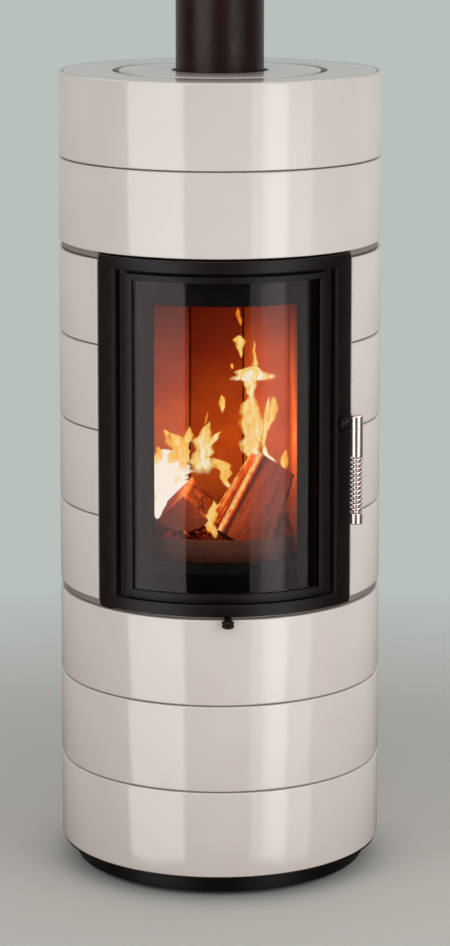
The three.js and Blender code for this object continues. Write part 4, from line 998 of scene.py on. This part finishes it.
def add_ash():
    """A bed that rises 4 mm over its edge, plus 3 mm of wide lumps and 2 mm of small ones, over a flat underside. The
    grid runs from the guard's inner curve to the rear lining. Embers are a random field that fades from the middle."""
    n = ASH_GRID
    u, v = np.linspace(-1, 1, n)[None, :], np.linspace(0, 1, n)[:, None]
    x = ASH_EDGE * u + 0 * v
    front = -np.sqrt(ASH_FRONT_R**2 - x**2)
    y = front + (ASH_BACK - front) * v
    rim = np.minimum(1, 12 * np.minimum(1 - np.abs(u), np.minimum(v, 1 - v) * 1.4))
    lumps, crumbs = waves(24, 5, (30, 30), x, y), waves(24, 6, (90, 90), x, y)
    top = ASH_LOW + (ASH_RISE + ASH_LUMP * np.abs(lumps) + ASH_CRUMB * crumbs) * rim
    upper = np.stack([x, y, np.maximum(top, ASH_LOW + 0.0002)], -1).reshape(-1, 3)
    lower = np.stack([x, y, np.full_like(x, ASH_LOW - 0.0003)], -1).reshape(-1, 3)
    grid = np.arange(n * n).reshape(n, n)
    around = np.concatenate([grid[0, :-1], grid[:-1, -1], grid[-1, :0:-1], grid[:0:-1, 0]])
    after = np.roll(around, -1)
    top_faces = np.array(quads(n, n, wrap_columns=False))
    sides = np.stack([around, around + n * n, after + n * n, after], -1)
    faces = top_faces.tolist() + (top_faces[:, ::-1] + n * n).tolist() + sides.tolist()
    ember = 0.6 * np.clip(0.2 + 0.6 * waves(30, 8, (30, 30), x, y) - np.hypot(x + 0.02, y + 0.03) * 6, 0, 1).ravel()
    values = {"glow": np.concatenate([ember, 0 * ember]), "tone": np.full(2 * n * n, ASH_TONE)}
    piece("ash_bed", np.concatenate([upper, lower]), faces, "log_bark", [], "stove", values=values)


add_ash()

# %% [markdown]
# ## The logs
#
# Two half logs lean on the right and a quarter log lies on the left. A cylinder cut in half would be too regular:
# an axe leaves fibres and cracks along the grain, and bark has ridges. So the section is carried along the grain and
# every point is drawn in by its own share of each. The points also say how charred the wood is and how much it glows.

# %% Log sections
# radius, first and last angle of the section, length in millimetres, turns about X, Y and Z, random seed
LOGS = {
    "log_rear": (30, (0, 180), 135, (-10, 36, 8), 3),
    "log_front": (38, (0, 180), 150, (-12, 34, 14), 4),
    "log_top": (62, (225, 315), 185, (88, 0, -7), 5),
}
FRAME_FACETS = 7


def turn_matrix(degrees):
    """Turns about X, then Y, then Z."""
    a, b, c = np.radians(degrees)
    about_x = np.array([[1, 0, 0], [0, np.cos(a), -np.sin(a)], [0, np.sin(a), np.cos(a)]])
    about_y = np.array([[np.cos(b), 0, np.sin(b)], [0, 1, 0], [-np.sin(b), 0, np.cos(b)]])
    about_z = np.array([[np.cos(c), -np.sin(c), 0], [np.sin(c), np.cos(c), 0], [0, 0, 1]])
    return about_z @ about_y @ about_x


def log_section(radius, sector, facets):
    """A sector of a circle, from its centre round its arc."""
    t = np.radians(np.linspace(*sector, facets + 1))
    return np.concatenate([[[0, 0]], np.stack([np.cos(t), np.sin(t)], -1) * radius])


def evenly(outline, count):
    """Points evenly spaced along a closed outline, and each one's distance along it."""
    closed = np.concatenate([outline, outline[:1]])
    steps = np.linalg.norm(np.diff(closed, axis=0), axis=1)
    total = np.concatenate([[0], np.cumsum(steps)])
    s = np.arange(count) / count * total[-1]
    return np.stack([np.interp(s, total, closed[:, k]) for k in (0, 1)], -1), s


def log_place(name):
    """The turn and the shift that put a log where its node is: their lowest corners meet."""
    radius, sector, length, turn, _ = LOGS[name]
    matrix = turn_matrix(turn)
    coarse = log_section(radius * MM, sector, FRAME_FACETS)
    half = length * MM / 2
    ends = np.concatenate([np.column_stack([coarse, np.full(len(coarse), z)]) for z in (-half, half)])
    return matrix, np.array(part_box(name)[0]) - (ends @ matrix.T).min(0)


print("the front log is shifted by", np.round(log_place("log_front")[1], 3))

# %% Cracks and ends
CRACKS, CRACK_W, CRACK_WANDER, CRACK_FADE = 9, 1.0 * MM, 2.2 * MM, 12 * MM
END_RINGS = np.array([0.03, 0.25, 0.5, 0.75, 0.93, 0.985])


def log_cracks(seed, s, z, length):
    """Cracks exp(-(d / w)^2) wide, that wander along the grain and run out at both ends."""
    cracks = 0
    rng = np.random.default_rng(seed)
    for _ in range(CRACKS):
        at, start, end = rng.uniform(0, s[-1]), *np.sort(rng.uniform(-length / 2, length / 2, 2))
        wander = at + CRACK_WANDER * waves(4, int(rng.integers(99)), (20,), z)
        reach = np.clip((z - start) / CRACK_FADE, 0, 1) * np.clip((end - z) / CRACK_FADE, 0, 1)
        cracks = cracks + np.exp(-(((s[None, :] - wander) / CRACK_W) ** 2)) * reach
    return np.clip(cracks, 0, 1)


def log_end(ring, middle, z, shrinks):
    """Rings at one height that shrink a section towards its middle, to close an end."""
    flat = middle + (ring - middle) * shrinks[:, None, None]
    return np.concatenate([flat, np.full((len(shrinks), len(ring), 1), z)], -1)


def with_ends(field):
    """Repeats the first and the last row of a log's field over the rings that close its ends."""
    n = len(END_RINGS)
    return np.concatenate([np.repeat(field[:1], n, 0), field, np.repeat(field[-1:], n, 0)])


print("rings that close a log's end:", len(END_RINGS))

# %% Char and glow
EDGE_GLOW, SCORCH_DOWN, SCORCH_W = 9, 17, 6  # millimetres down from a log's upper edge


def log_values(name, world, bark, cracks, fibres):
    """Tone is low on bark and in cracks, and glow is high where the fire is: over the rear log, and as exp(-(d / w)^2)
    along the upper left edge of the others, where d is crest, the millimetres down from that edge."""
    body = slice(len(END_RINGS), -len(END_RINGS))
    is_end = np.ones(bark.shape)
    is_end[body] = 0
    end_char = 0.2 if name == "log_top" else 0.55
    tone = np.clip(0.82 + 0.16 * fibres - 1.1 * cracks, 0, 1)
    tone = tone * (1 - bark * (1 - is_end)) * (1 - end_char * is_end)
    x, _, z = np.moveaxis(world, -1, 0)
    leftness = z - x if name != "log_top" else z - 0.6 * x
    crest = with_ends((leftness[body].max(1, keepdims=True) - leftness[body]) / MM)
    rim = np.exp(-((crest / EDGE_GLOW) ** 2)) * (1 - is_end)
    if name == "log_rear":
        glow = np.clip(0.42 + 0.16 * fibres + 0.5 * rim, 0, 1) * (1 - 0.5 * is_end)
    elif name == "log_front":
        glow = np.clip(1.35 * rim, 0, 1.1)
        tone = tone * (1 - 0.9 * np.exp(-(((crest - SCORCH_DOWN) / SCORCH_W) ** 2)))
    else:
        glow = np.clip(0.85 * rim + 0.1 * np.clip(fibres, 0, 1) * (1 - is_end), 0, 1)
        patches = np.clip(0.5 + 0.9 * waves(30, 31, (28, 28, 28), *np.moveaxis(world, -1, 0)), 0, 1)
        tone = tone * (0.3 + 0.6 * patches * (1 - is_end) + 0.6 * is_end)
    return tone, glow


print("glow falls to about a third", EDGE_GLOW, "mm down from an edge")

# %% Logs
FINE_FACETS, AROUND, ALONG = 40, 220, 150
FLARE = {"log_front": 0.9, "log_rear": 0.3}
FIBRE_DEPTH, RIDGE_DEPTH, CRACK_DEPTH, END_ROUND = 0.35 * MM, 1.3 * MM, 2.2 * MM, 0.8 * MM
HEARTH = 563 * MM


def add_log(name):
    """The section is carried along the grain. Every point is drawn in towards its middle by fibres, by ridges on the
    bark and by cracks on the split faces. A foot may flare, and nothing goes below the hearth."""
    radius, sector, length, _, seed = LOGS[name]
    radius, length = radius * MM, length * MM
    outline, s = evenly(log_section(radius, sector, FINE_FACETS), AROUND)
    for _ in range(2):
        outline = (np.roll(outline, 1, 0) + 2 * outline + np.roll(outline, -1, 0)) / 4
    middle = outline.mean(0)
    inward = middle - outline
    inward /= np.linalg.norm(inward, axis=1, keepdims=True)
    bark = (np.hypot(*outline.T) > 0.93 * radius).astype(float)
    bark = np.convolve(np.concatenate([bark[-3:], bark, bark[:3]]), np.ones(7) / 7, "valid")
    z = np.linspace(-length / 2, length / 2, ALONG)[:, None]
    fibres = waves(30, seed, (260, 14), s[None, :], z)
    ridges = np.abs(waves(20, seed + 20, (110, 18), s[None, :], z))
    cracks = log_cracks(seed + 50, s, z, length) * (1 - bark)
    draw = FIBRE_DEPTH * np.abs(fibres) + RIDGE_DEPTH * ridges * bark + CRACK_DEPTH * cracks
    body = outline[None] + inward[None] * draw[..., None]
    flare = 1 + FLARE.get(name, 0) * (length / 2 - z) / length
    body[..., 0] = np.where(body[..., 0] > 0, body[..., 0] * flare, body[..., 0])
    foot = log_end(body[0], middle, -length / 2, END_RINGS)
    head = log_end(body[-1], middle, length / 2, END_RINGS[::-1])
    body = np.concatenate([body, np.broadcast_to(z[..., None], (ALONG, AROUND, 1))], -1)
    body[0, :, 2] += END_ROUND
    body[-1, :, 2] -= END_ROUND
    matrix, shift = log_place(name)
    world = np.concatenate([foot, body, head]) @ matrix.T + shift
    world[..., 2] = np.maximum(world[..., 2], HEARTH)
    bark = np.broadcast_to(bark, (ALONG, AROUND))
    tone, glow = log_values(name, world, with_ends(bark), with_ends(cracks), with_ends(fibres))
    faces = quads(len(world), AROUND) + end_caps(len(world), AROUND)
    piece(f"{name}_split", world, faces, "log_bark", [name], values={"tone": tone, "glow": glow})


for name in LOGS:
    add_log(name)

# %% [markdown]
# ## Glowing gas
#
# A flame is glowing gas: it adds light and has no hard skin. A volume shader would be nearest to that, but it renders
# slowly and can't be baked. So the flames are thin shapes of light mixed with a clear shader. Their points carry two
# numbers, how warm the gas is and how much it covers of what is behind, and a tall noise breaks both into licks.

# %% Flame gas
LICK, LICK_STRETCH = 10 * MM, (1, 1, 3.2)
FLAME_ORANGE = "#ea6a1a"
FLAME_STEPS = [(0.0, 0.5, "#ffbc40"), (0.5, 1.0, "#ffe9a4"), (1.0, 1.25, "#fff8ee")]


def flame_gas(tree, place):
    """To the eye: streaks of pale yellow in orange, with soft sides that let the lining show through."""
    tall = node(tree, "Mapping", 0, {"vector_type": "TEXTURE"}, Vector=place, Scale=LICK_STRETCH)
    lick = node(tree, "TexNoise", Vector=tall, Scale=1 / LICK, Detail=4.0, Roughness=0.62)
    own_warmth = node(tree, "Attribute", "Fac", {"attribute_name": "warmth"})
    own_cover = node(tree, "Attribute", "Fac", {"attribute_name": "cover"})
    streak = node(tree, "MapRange", Value=lick, From_Min=0.34, From_Max=0.66, To_Min=0.42, To_Max=1.35)
    dense = node(tree, "MapRange", Value=lick, From_Min=0.34, From_Max=0.55, To_Min=0.35, To_Max=1.7)
    warmth = node(tree, "Math", 0, {"operation": "MULTIPLY"}, _0=own_warmth, _1=streak)
    cover = node(tree, "Math", 0, {"operation": "MULTIPLY", "use_clamp": True}, _0=own_cover, _1=dense)
    colour = heat_colours(tree, warmth, linear(FLAME_ORANGE), FLAME_STEPS)
    light = node(tree, "Emission", Color=colour, Strength=1.15)
    return node(tree, "MixShader", _0=cover, _1=node(tree, "BsdfTransparent"), _2=light)


finish["flame"] = made_of("flame_gas", flame_gas)

# %% [markdown]
# ## The flames
#
# Each tongue of flame is a thin closed shape around a line that bends upwards. Tongues could be simulated as smoke,
# but smoke is hard to put in a given place. Here each is a short list of widths along its height, carried smoothly
# from one to the next, and its two edges flutter on their own.

# %% Flames
FLAME_ROWS, FLAME_SIDES = 48, 24
# distance behind the axis, warmth, then (across, height, half width) from the tip down, in millimetres
TONGUES = [
    (20, 0.72, [
        (-97, 745, 1.7), (-89, 738, 6.9), (-73, 729, 21.6), (-71, 715, 19.9), (-68, 701, 17.3), (-63, 685, 12.1),
        (-58, 669, 6.9),
    ]),
    (22, 0.8, [(-51, 748, 1.7), (-54, 735, 6.9), (-61, 721, 12.1), (-58, 704, 8.7), (-54, 683, 5.2)]),
    (10, 1.0, [
        (-17, 760, 1.7), (-22, 748, 6.9), (-27, 734, 15.6), (-28, 717, 16.4), (-29, 699, 19.0), (-27, 683, 24.2),
        (-29, 667, 17.3),
    ]),
    (8, 0.9, [(4, 743, 1.4), (-5, 737, 5.2), (-13, 727, 8.6), (-20, 715, 8.6)]),
    (-20, 0.8, [
        (-14, 702, 5.2), (-1, 694, 13.8), (10, 687, 15.5), (8, 675, 11.2), (7, 663, 6.9), (13, 652, 5.2),
        (13, 649, 1.4),
    ]),
    (75, 2.2, [(-92, 698, 6), (-90, 690, 22), (-88, 672, 38), (-87, 640, 43), (-88, 604, 42), (-92, 568, 34)]),
    (70, 0.8, [(-106, 706, 1), (-104, 696, 6), (-103, 684, 12), (-103, 672, 14)]),
    (70, 0.8, [(-76, 702, 1), (-79, 692, 7), (-82, 682, 12), (-82, 672, 14)]),
    (-20, 0.75, [(58, 907, 1.0), (58, 889, 2.6), (59, 872, 3.8), (60, 858, 8.6)]),
    (-20, 1.15, [(59, 862, 5.1), (56, 853, 24.0), (59, 844, 37.8), (59, 837, 34.4)]),
    (-18, 1.0, [(54, 847, 15.5), (53, 833, 12.0), (52, 819, 9.5), (54, 805, 4.3)]),
    (-20, 0.95, [
        (54, 816, 3.4), (51, 797, 12.9), (56, 781, 20.6), (54, 760, 20.7), (53, 741, 21.5), (54, 720, 19.0),
        (58, 701, 15.5), (61, 685, 10.3),
    ]),
    (-30, 1.1, [
        (83, 809, 2.6), (80, 790, 4.5), (77, 762, 3.8), (74, 734, 3.8), (76, 713, 5.2), (87, 701, 6.0),
        (97, 694, 2.6),
    ]),
    (-10, 0.7, [(91, 807, 3.4), (93, 791, 8.6), (91, 776, 9.5), (83, 758, 6.0), (79, 741, 2.6)]),
    (0, 0.8, [(35, 912, 3.4), (32, 903, 11.2), (33, 893, 8.6), (36, 881, 3.8), (37, 872, 1.2)]),
    (0, 0.5, [(21, 863, 1.4), (21, 858, 3.4), (21, 853, 1.4)]),
    (0, 0.7, [(2, 808, 1.7), (4, 797, 6.9), (5, 787, 4.8), (4, 776, 1.4)]),
    (0, 0.3, [(-20, 780, 1.0), (-23, 768, 2.2), (-26, 755, 1.0)]),
    (0, 0.15, [(31, 961, 1.2), (32, 947, 5.2), (35, 937, 3.4), (36, 928, 1.0)]),
    (-125, 0.8, [
        (-16, 651, 1.2), (-16, 637, 6.8), (-18, 624, 11.8), (-22, 610, 12.7), (-18, 598, 8.5), (-13, 584, 1.7),
    ]),
    (60, 0.6, [(118, 698, 1.8), (117, 687, 6.8), (116, 676, 8.0), (114, 662, 6.5)]),
]


def tongue(depth, warmth, rows, number):
    """Centre line and half width are carried smoothly through the rows. The section is a flat ellipse, w to each side
    and w / 4 deep, and both its edges flutter by their own sum of sine waves of the height. Returns the points, how
    warm each is and how much it covers."""
    rows = np.array(rows, float)
    keys, at = np.arange(len(rows)), np.linspace(0, len(rows) - 1, FLAME_ROWS)
    x, z, w = (np.interp(at, keys, rows[:, k]) for k in range(3))
    for _ in range(4):
        x[1:-1], w[1:-1] = (x[:-2] + 2 * x[1:-1] + x[2:]) / 4, (w[:-2] + 2 * w[1:-1] + w[2:]) / 4
    x = x + 0.12 * w * waves(5, 60 + number, (0.03,), z)
    left, right = (w * (1 + 0.13 * waves(6, seed + number, (0.045,), z)) for seed in (80, 120))
    t = np.arange(FLAME_SIDES)[None, :] * 2 * np.pi / FLAME_SIDES
    across = np.cos(t) * np.where(np.cos(t) > 0, right[:, None], left[:, None])
    deep = (0.25 * w + 0.6)[:, None] * np.sin(t)
    points = np.stack([x[:, None] + across, depth + deep, z[:, None] + 0 * t], -1)
    v = np.linspace(0, 1, FLAME_ROWS)[:, None]
    inside = (1 - np.cos(t) ** 2) ** 1.2
    fading = np.clip(v * 7, 0.12, 1) * np.clip((1 - v) * 5, 0, 1)
    warm = warmth * (0.6 + 0.5 * inside) * (0.8 + 0.3 * v)
    return points.reshape(-1, 3) * MM, warm.ravel(), (max(1, warmth) ** 1.6 * inside * fading).ravel()


def add_flames():
    """All tongues in one mesh, each a tube of its own."""
    made = [tongue(*row, number) for number, row in enumerate(TONGUES)]
    points, warm, cover = (np.concatenate(parts) for parts in zip(*made))
    one = quads(FLAME_ROWS, FLAME_SIDES) + end_caps(FLAME_ROWS, FLAME_SIDES)
    per_tongue = FLAME_ROWS * FLAME_SIDES
    faces = [[k + number * per_tongue for k in face] for number in range(len(TONGUES)) for face in one]
    values = {"warmth": warm, "cover": cover}
    thing = piece("fire_flames", points, faces, "log_bark", [], "stove", paint="flame", values=values)
    thing.visible_shadow = False
    print("tongues:", len(TONGUES))


add_flames()

# %% [markdown]
# ## The room
#
# A pale backdrop and soft light could be built from big planes. The world gives both at once, because Light Path
# tells who asks. The camera sees the backdrop. Mirrors see it behind the stove, with brightness above, brown below and
# darkness in front, so that the glass stays black between the lamps. Matt surfaces get a soft light that is a little
# stronger from the right.

# %% World
BACKDROP = "#b9c1bd"
ROOM_FRONT, ROOM_LOW, ROOM_ABOVE = (0.012, 0.012, 0.012, 1.0), "#574a44", (3.0, 3.0, 3.0, 1.0)
AMBIENT_LEFT, AMBIENT_RIGHT = 0.44, 0.78


def add_world():
    """What mirrors see is mixed by the parts of their direction: y for behind, z for below and above. Then the camera
    and the mirrors are told from matt surfaces, whose light goes from left to right with x."""
    world = bpy.data.worlds.new("studio")
    world.use_nodes = True
    bpy.context.scene.world = world
    tree = world.node_tree
    tree.nodes.clear()
    direction = node(tree, "TexCoord", "Generated")
    x, y, z = (node(tree, "SeparateXYZ", axis, Vector=direction) for axis in "XYZ")
    behind = node(tree, "MapRange", Value=y, From_Min=0.1, From_Max=0.45)
    below = node(tree, "MapRange", Value=z, From_Min=-0.36, From_Max=-0.1, To_Min=1, To_Max=0)
    above = node(tree, "MapRange", Value=z, From_Min=0.45, From_Max=0.75)
    mirrored = node(tree, "Mix", 2, RGBA, _0=behind, _6=ROOM_FRONT, _7=linear(BACKDROP))
    mirrored = node(tree, "Mix", 2, RGBA, _0=below, _6=mirrored, _7=linear(ROOM_LOW))
    mirrored = node(tree, "Mix", 2, RGBA, _0=above, _6=mirrored, _7=ROOM_ABOVE)
    by_camera = node(tree, "LightPath", "Is Camera Ray")
    by_mirror = node(tree, "LightPath", "Is Glossy Ray")
    seen = node(tree, "Math", 0, {"operation": "MAXIMUM"}, _0=by_mirror, _1=by_camera)
    shown = node(tree, "Mix", 2, RGBA, _0=by_camera, _6=mirrored, _7=linear(BACKDROP))
    ambient = node(tree, "MapRange", Value=x, From_Min=-1, To_Min=AMBIENT_LEFT, To_Max=AMBIENT_RIGHT)
    colour = node(tree, "Mix", 2, RGBA, _0=seen, _6=ambient, _7=shown)
    node(tree, "OutputWorld", Surface=node(tree, "Background", Color=colour, Strength=1.0))
    print("world nodes:", len(tree.nodes))


add_world()

# %% [markdown]
# ## Softboxes
#
# Tall softboxes stand to the left and right of the camera. They give the sleeve its long upright highlights and the
# glass its two pale bands. One strong pair could do both, but would wash out the glaze. So each side also has a lamp
# that lights nothing and is only mirrored: it adds to the gloss and leaves the colours alone.

# %% Softboxes
SOFTBOX_R, GLEAM_STEP, SOFTBOX_LOW = 1.85, 0.03, -0.7
# first and last azimuth, height of the upper edge, radiance, and whether the lamp is only mirrored
SOFTBOXES = {
    "softbox_left": (-65.8, -26.1, 2.3, 1.2, False),
    "softbox_left_gleam": (-65.8, -26.1, 2.3, 1.3, True),
    "softbox_right_gleam": (25.5, 43.0, 1.6, 1.4, True),
    "softbox_right": (17.8, 60.9, 1.6, 1.3, False),
    "softbox_right_core": (30.0, 42.0, 1.6, 0.7, False),
}


def softbox(name, start, end, high, radiance, mirror_only):
    """A rectangular lamp between two azimuths, facing the axis. A surface of radiance L and area A gives off
    pi * L * A watts. A lamp that only mirrors stands a little further out, so that no two lamps share a plane."""
    away = SOFTBOX_R + (GLEAM_STEP if mirror_only else 0)
    a, b = polar([start, end], away, 0)
    lamp = bpy.data.lights.new(name, "AREA")
    lamp.shape = "RECTANGLE"
    lamp.size = float(np.linalg.norm(b - a))
    lamp.size_y = high - SOFTBOX_LOW
    lamp.energy = math.pi * radiance * lamp.size * lamp.size_y
    stand = bpy.data.objects.new(name, lamp)
    x, y, _ = (a + b) / 2
    stand.location = (x, y, (SOFTBOX_LOW + high) / 2)
    stand.rotation_euler = (math.pi / 2, 0, math.pi + math.atan2(-x, y))
    stand.visible_camera = False
    stand.visible_diffuse = not mirror_only
    bpy.context.scene.collection.objects.link(stand)
    print(f"{name}: {lamp.size:.2f} by {lamp.size_y:.2f} m, {lamp.energy:.1f} W")


for name, row in SOFTBOXES.items():
    softbox(name, *row)

# %% [markdown]
# ## The floor
#
# The floor is a plain pale disc that takes the stove's shadow. A real floor would end in a hard horizon, so this one
# fades into the backdrop, and mirrors don't see it at all.

# %% Floor
FLOOR = "#bcb9b4"
FLOOR_R, FADE_R, FLOOR_Z = 1.9, 0.9, -0.5 * MM


def matt_floor(tree, place):
    """To the eye: an even pale ground that grows out of the backdrop."""
    matt = node(tree, "BsdfPrincipled", Base_Color=linear(FLOOR), Roughness=0.9)
    distance = node(tree, "VectorMath", "Value", {"operation": "LENGTH"}, _0=place)
    fade = node(tree, "MapRange", Value=distance, From_Min=FADE_R, From_Max=FLOOR_R)
    by_mirror = node(tree, "LightPath", "Is Glossy Ray")
    hidden = node(tree, "Math", 0, {"operation": "MAXIMUM"}, _0=by_mirror, _1=fade)
    return node(tree, "MixShader", _0=hidden, _1=matt, _2=node(tree, "BsdfTransparent"))


def add_floor():
    """A disc of 120 sides, half a millimetre under the stove."""
    points = polar(np.arange(0, 360, 3.0), FLOOR_R, FLOOR_Z)
    mesh = bpy.data.meshes.new("floor")
    mesh.from_pydata(points.tolist(), [], [list(range(len(points)))])
    mesh.materials.append(made_of("matt_floor", matt_floor))
    floor = bpy.data.objects.new("floor", mesh)
    bpy.context.scene.collection.objects.link(floor)


add_floor()

# %% [markdown]
# ## Firelight
#
# Flames light the lining and the logs from inside. The glowing shapes alone would do so with much noise, so small
# orange lamps, which neither the camera nor the mirrors see, stand where the flames are.

# %% Firelight
FIRE_ORANGE = (1.0, 0.47, 0.13)
# place in metres, watts and radius in metres, for lamps of that colour, which is given in linear light
FIRE_LAMPS = {
    "fire_left": ((-0.05, 0.0, 0.66), 0.45, 0.04),
    "fire_column": ((0.065, -0.03, 0.74), 0.9, 0.04),
    "fire_right": ((0.075, 0.02, 0.86), 0.5, 0.05),
    "fire_front": ((0.0, -0.20, 0.71), 0.8, 0.03),
}
for name, (place, watts, radius) in FIRE_LAMPS.items():
    lamp = bpy.data.lights.new(name, "POINT")
    lamp.energy, lamp.shadow_soft_size, lamp.color = watts, radius, FIRE_ORANGE
    stand = bpy.data.objects.new(name, lamp)
    stand.location = place
    stand.visible_camera = False
    stand.visible_glossy = False
    bpy.context.scene.collection.objects.link(stand)
print("firelight:", round(sum(watts for _, watts, _ in FIRE_LAMPS.values()), 2), "W")

# %% [markdown]
# ## Last lines
#
# The colours are shown plainly, without a film look.

# %% Finish
bpy.context.scene.view_settings.view_transform = "Standard"
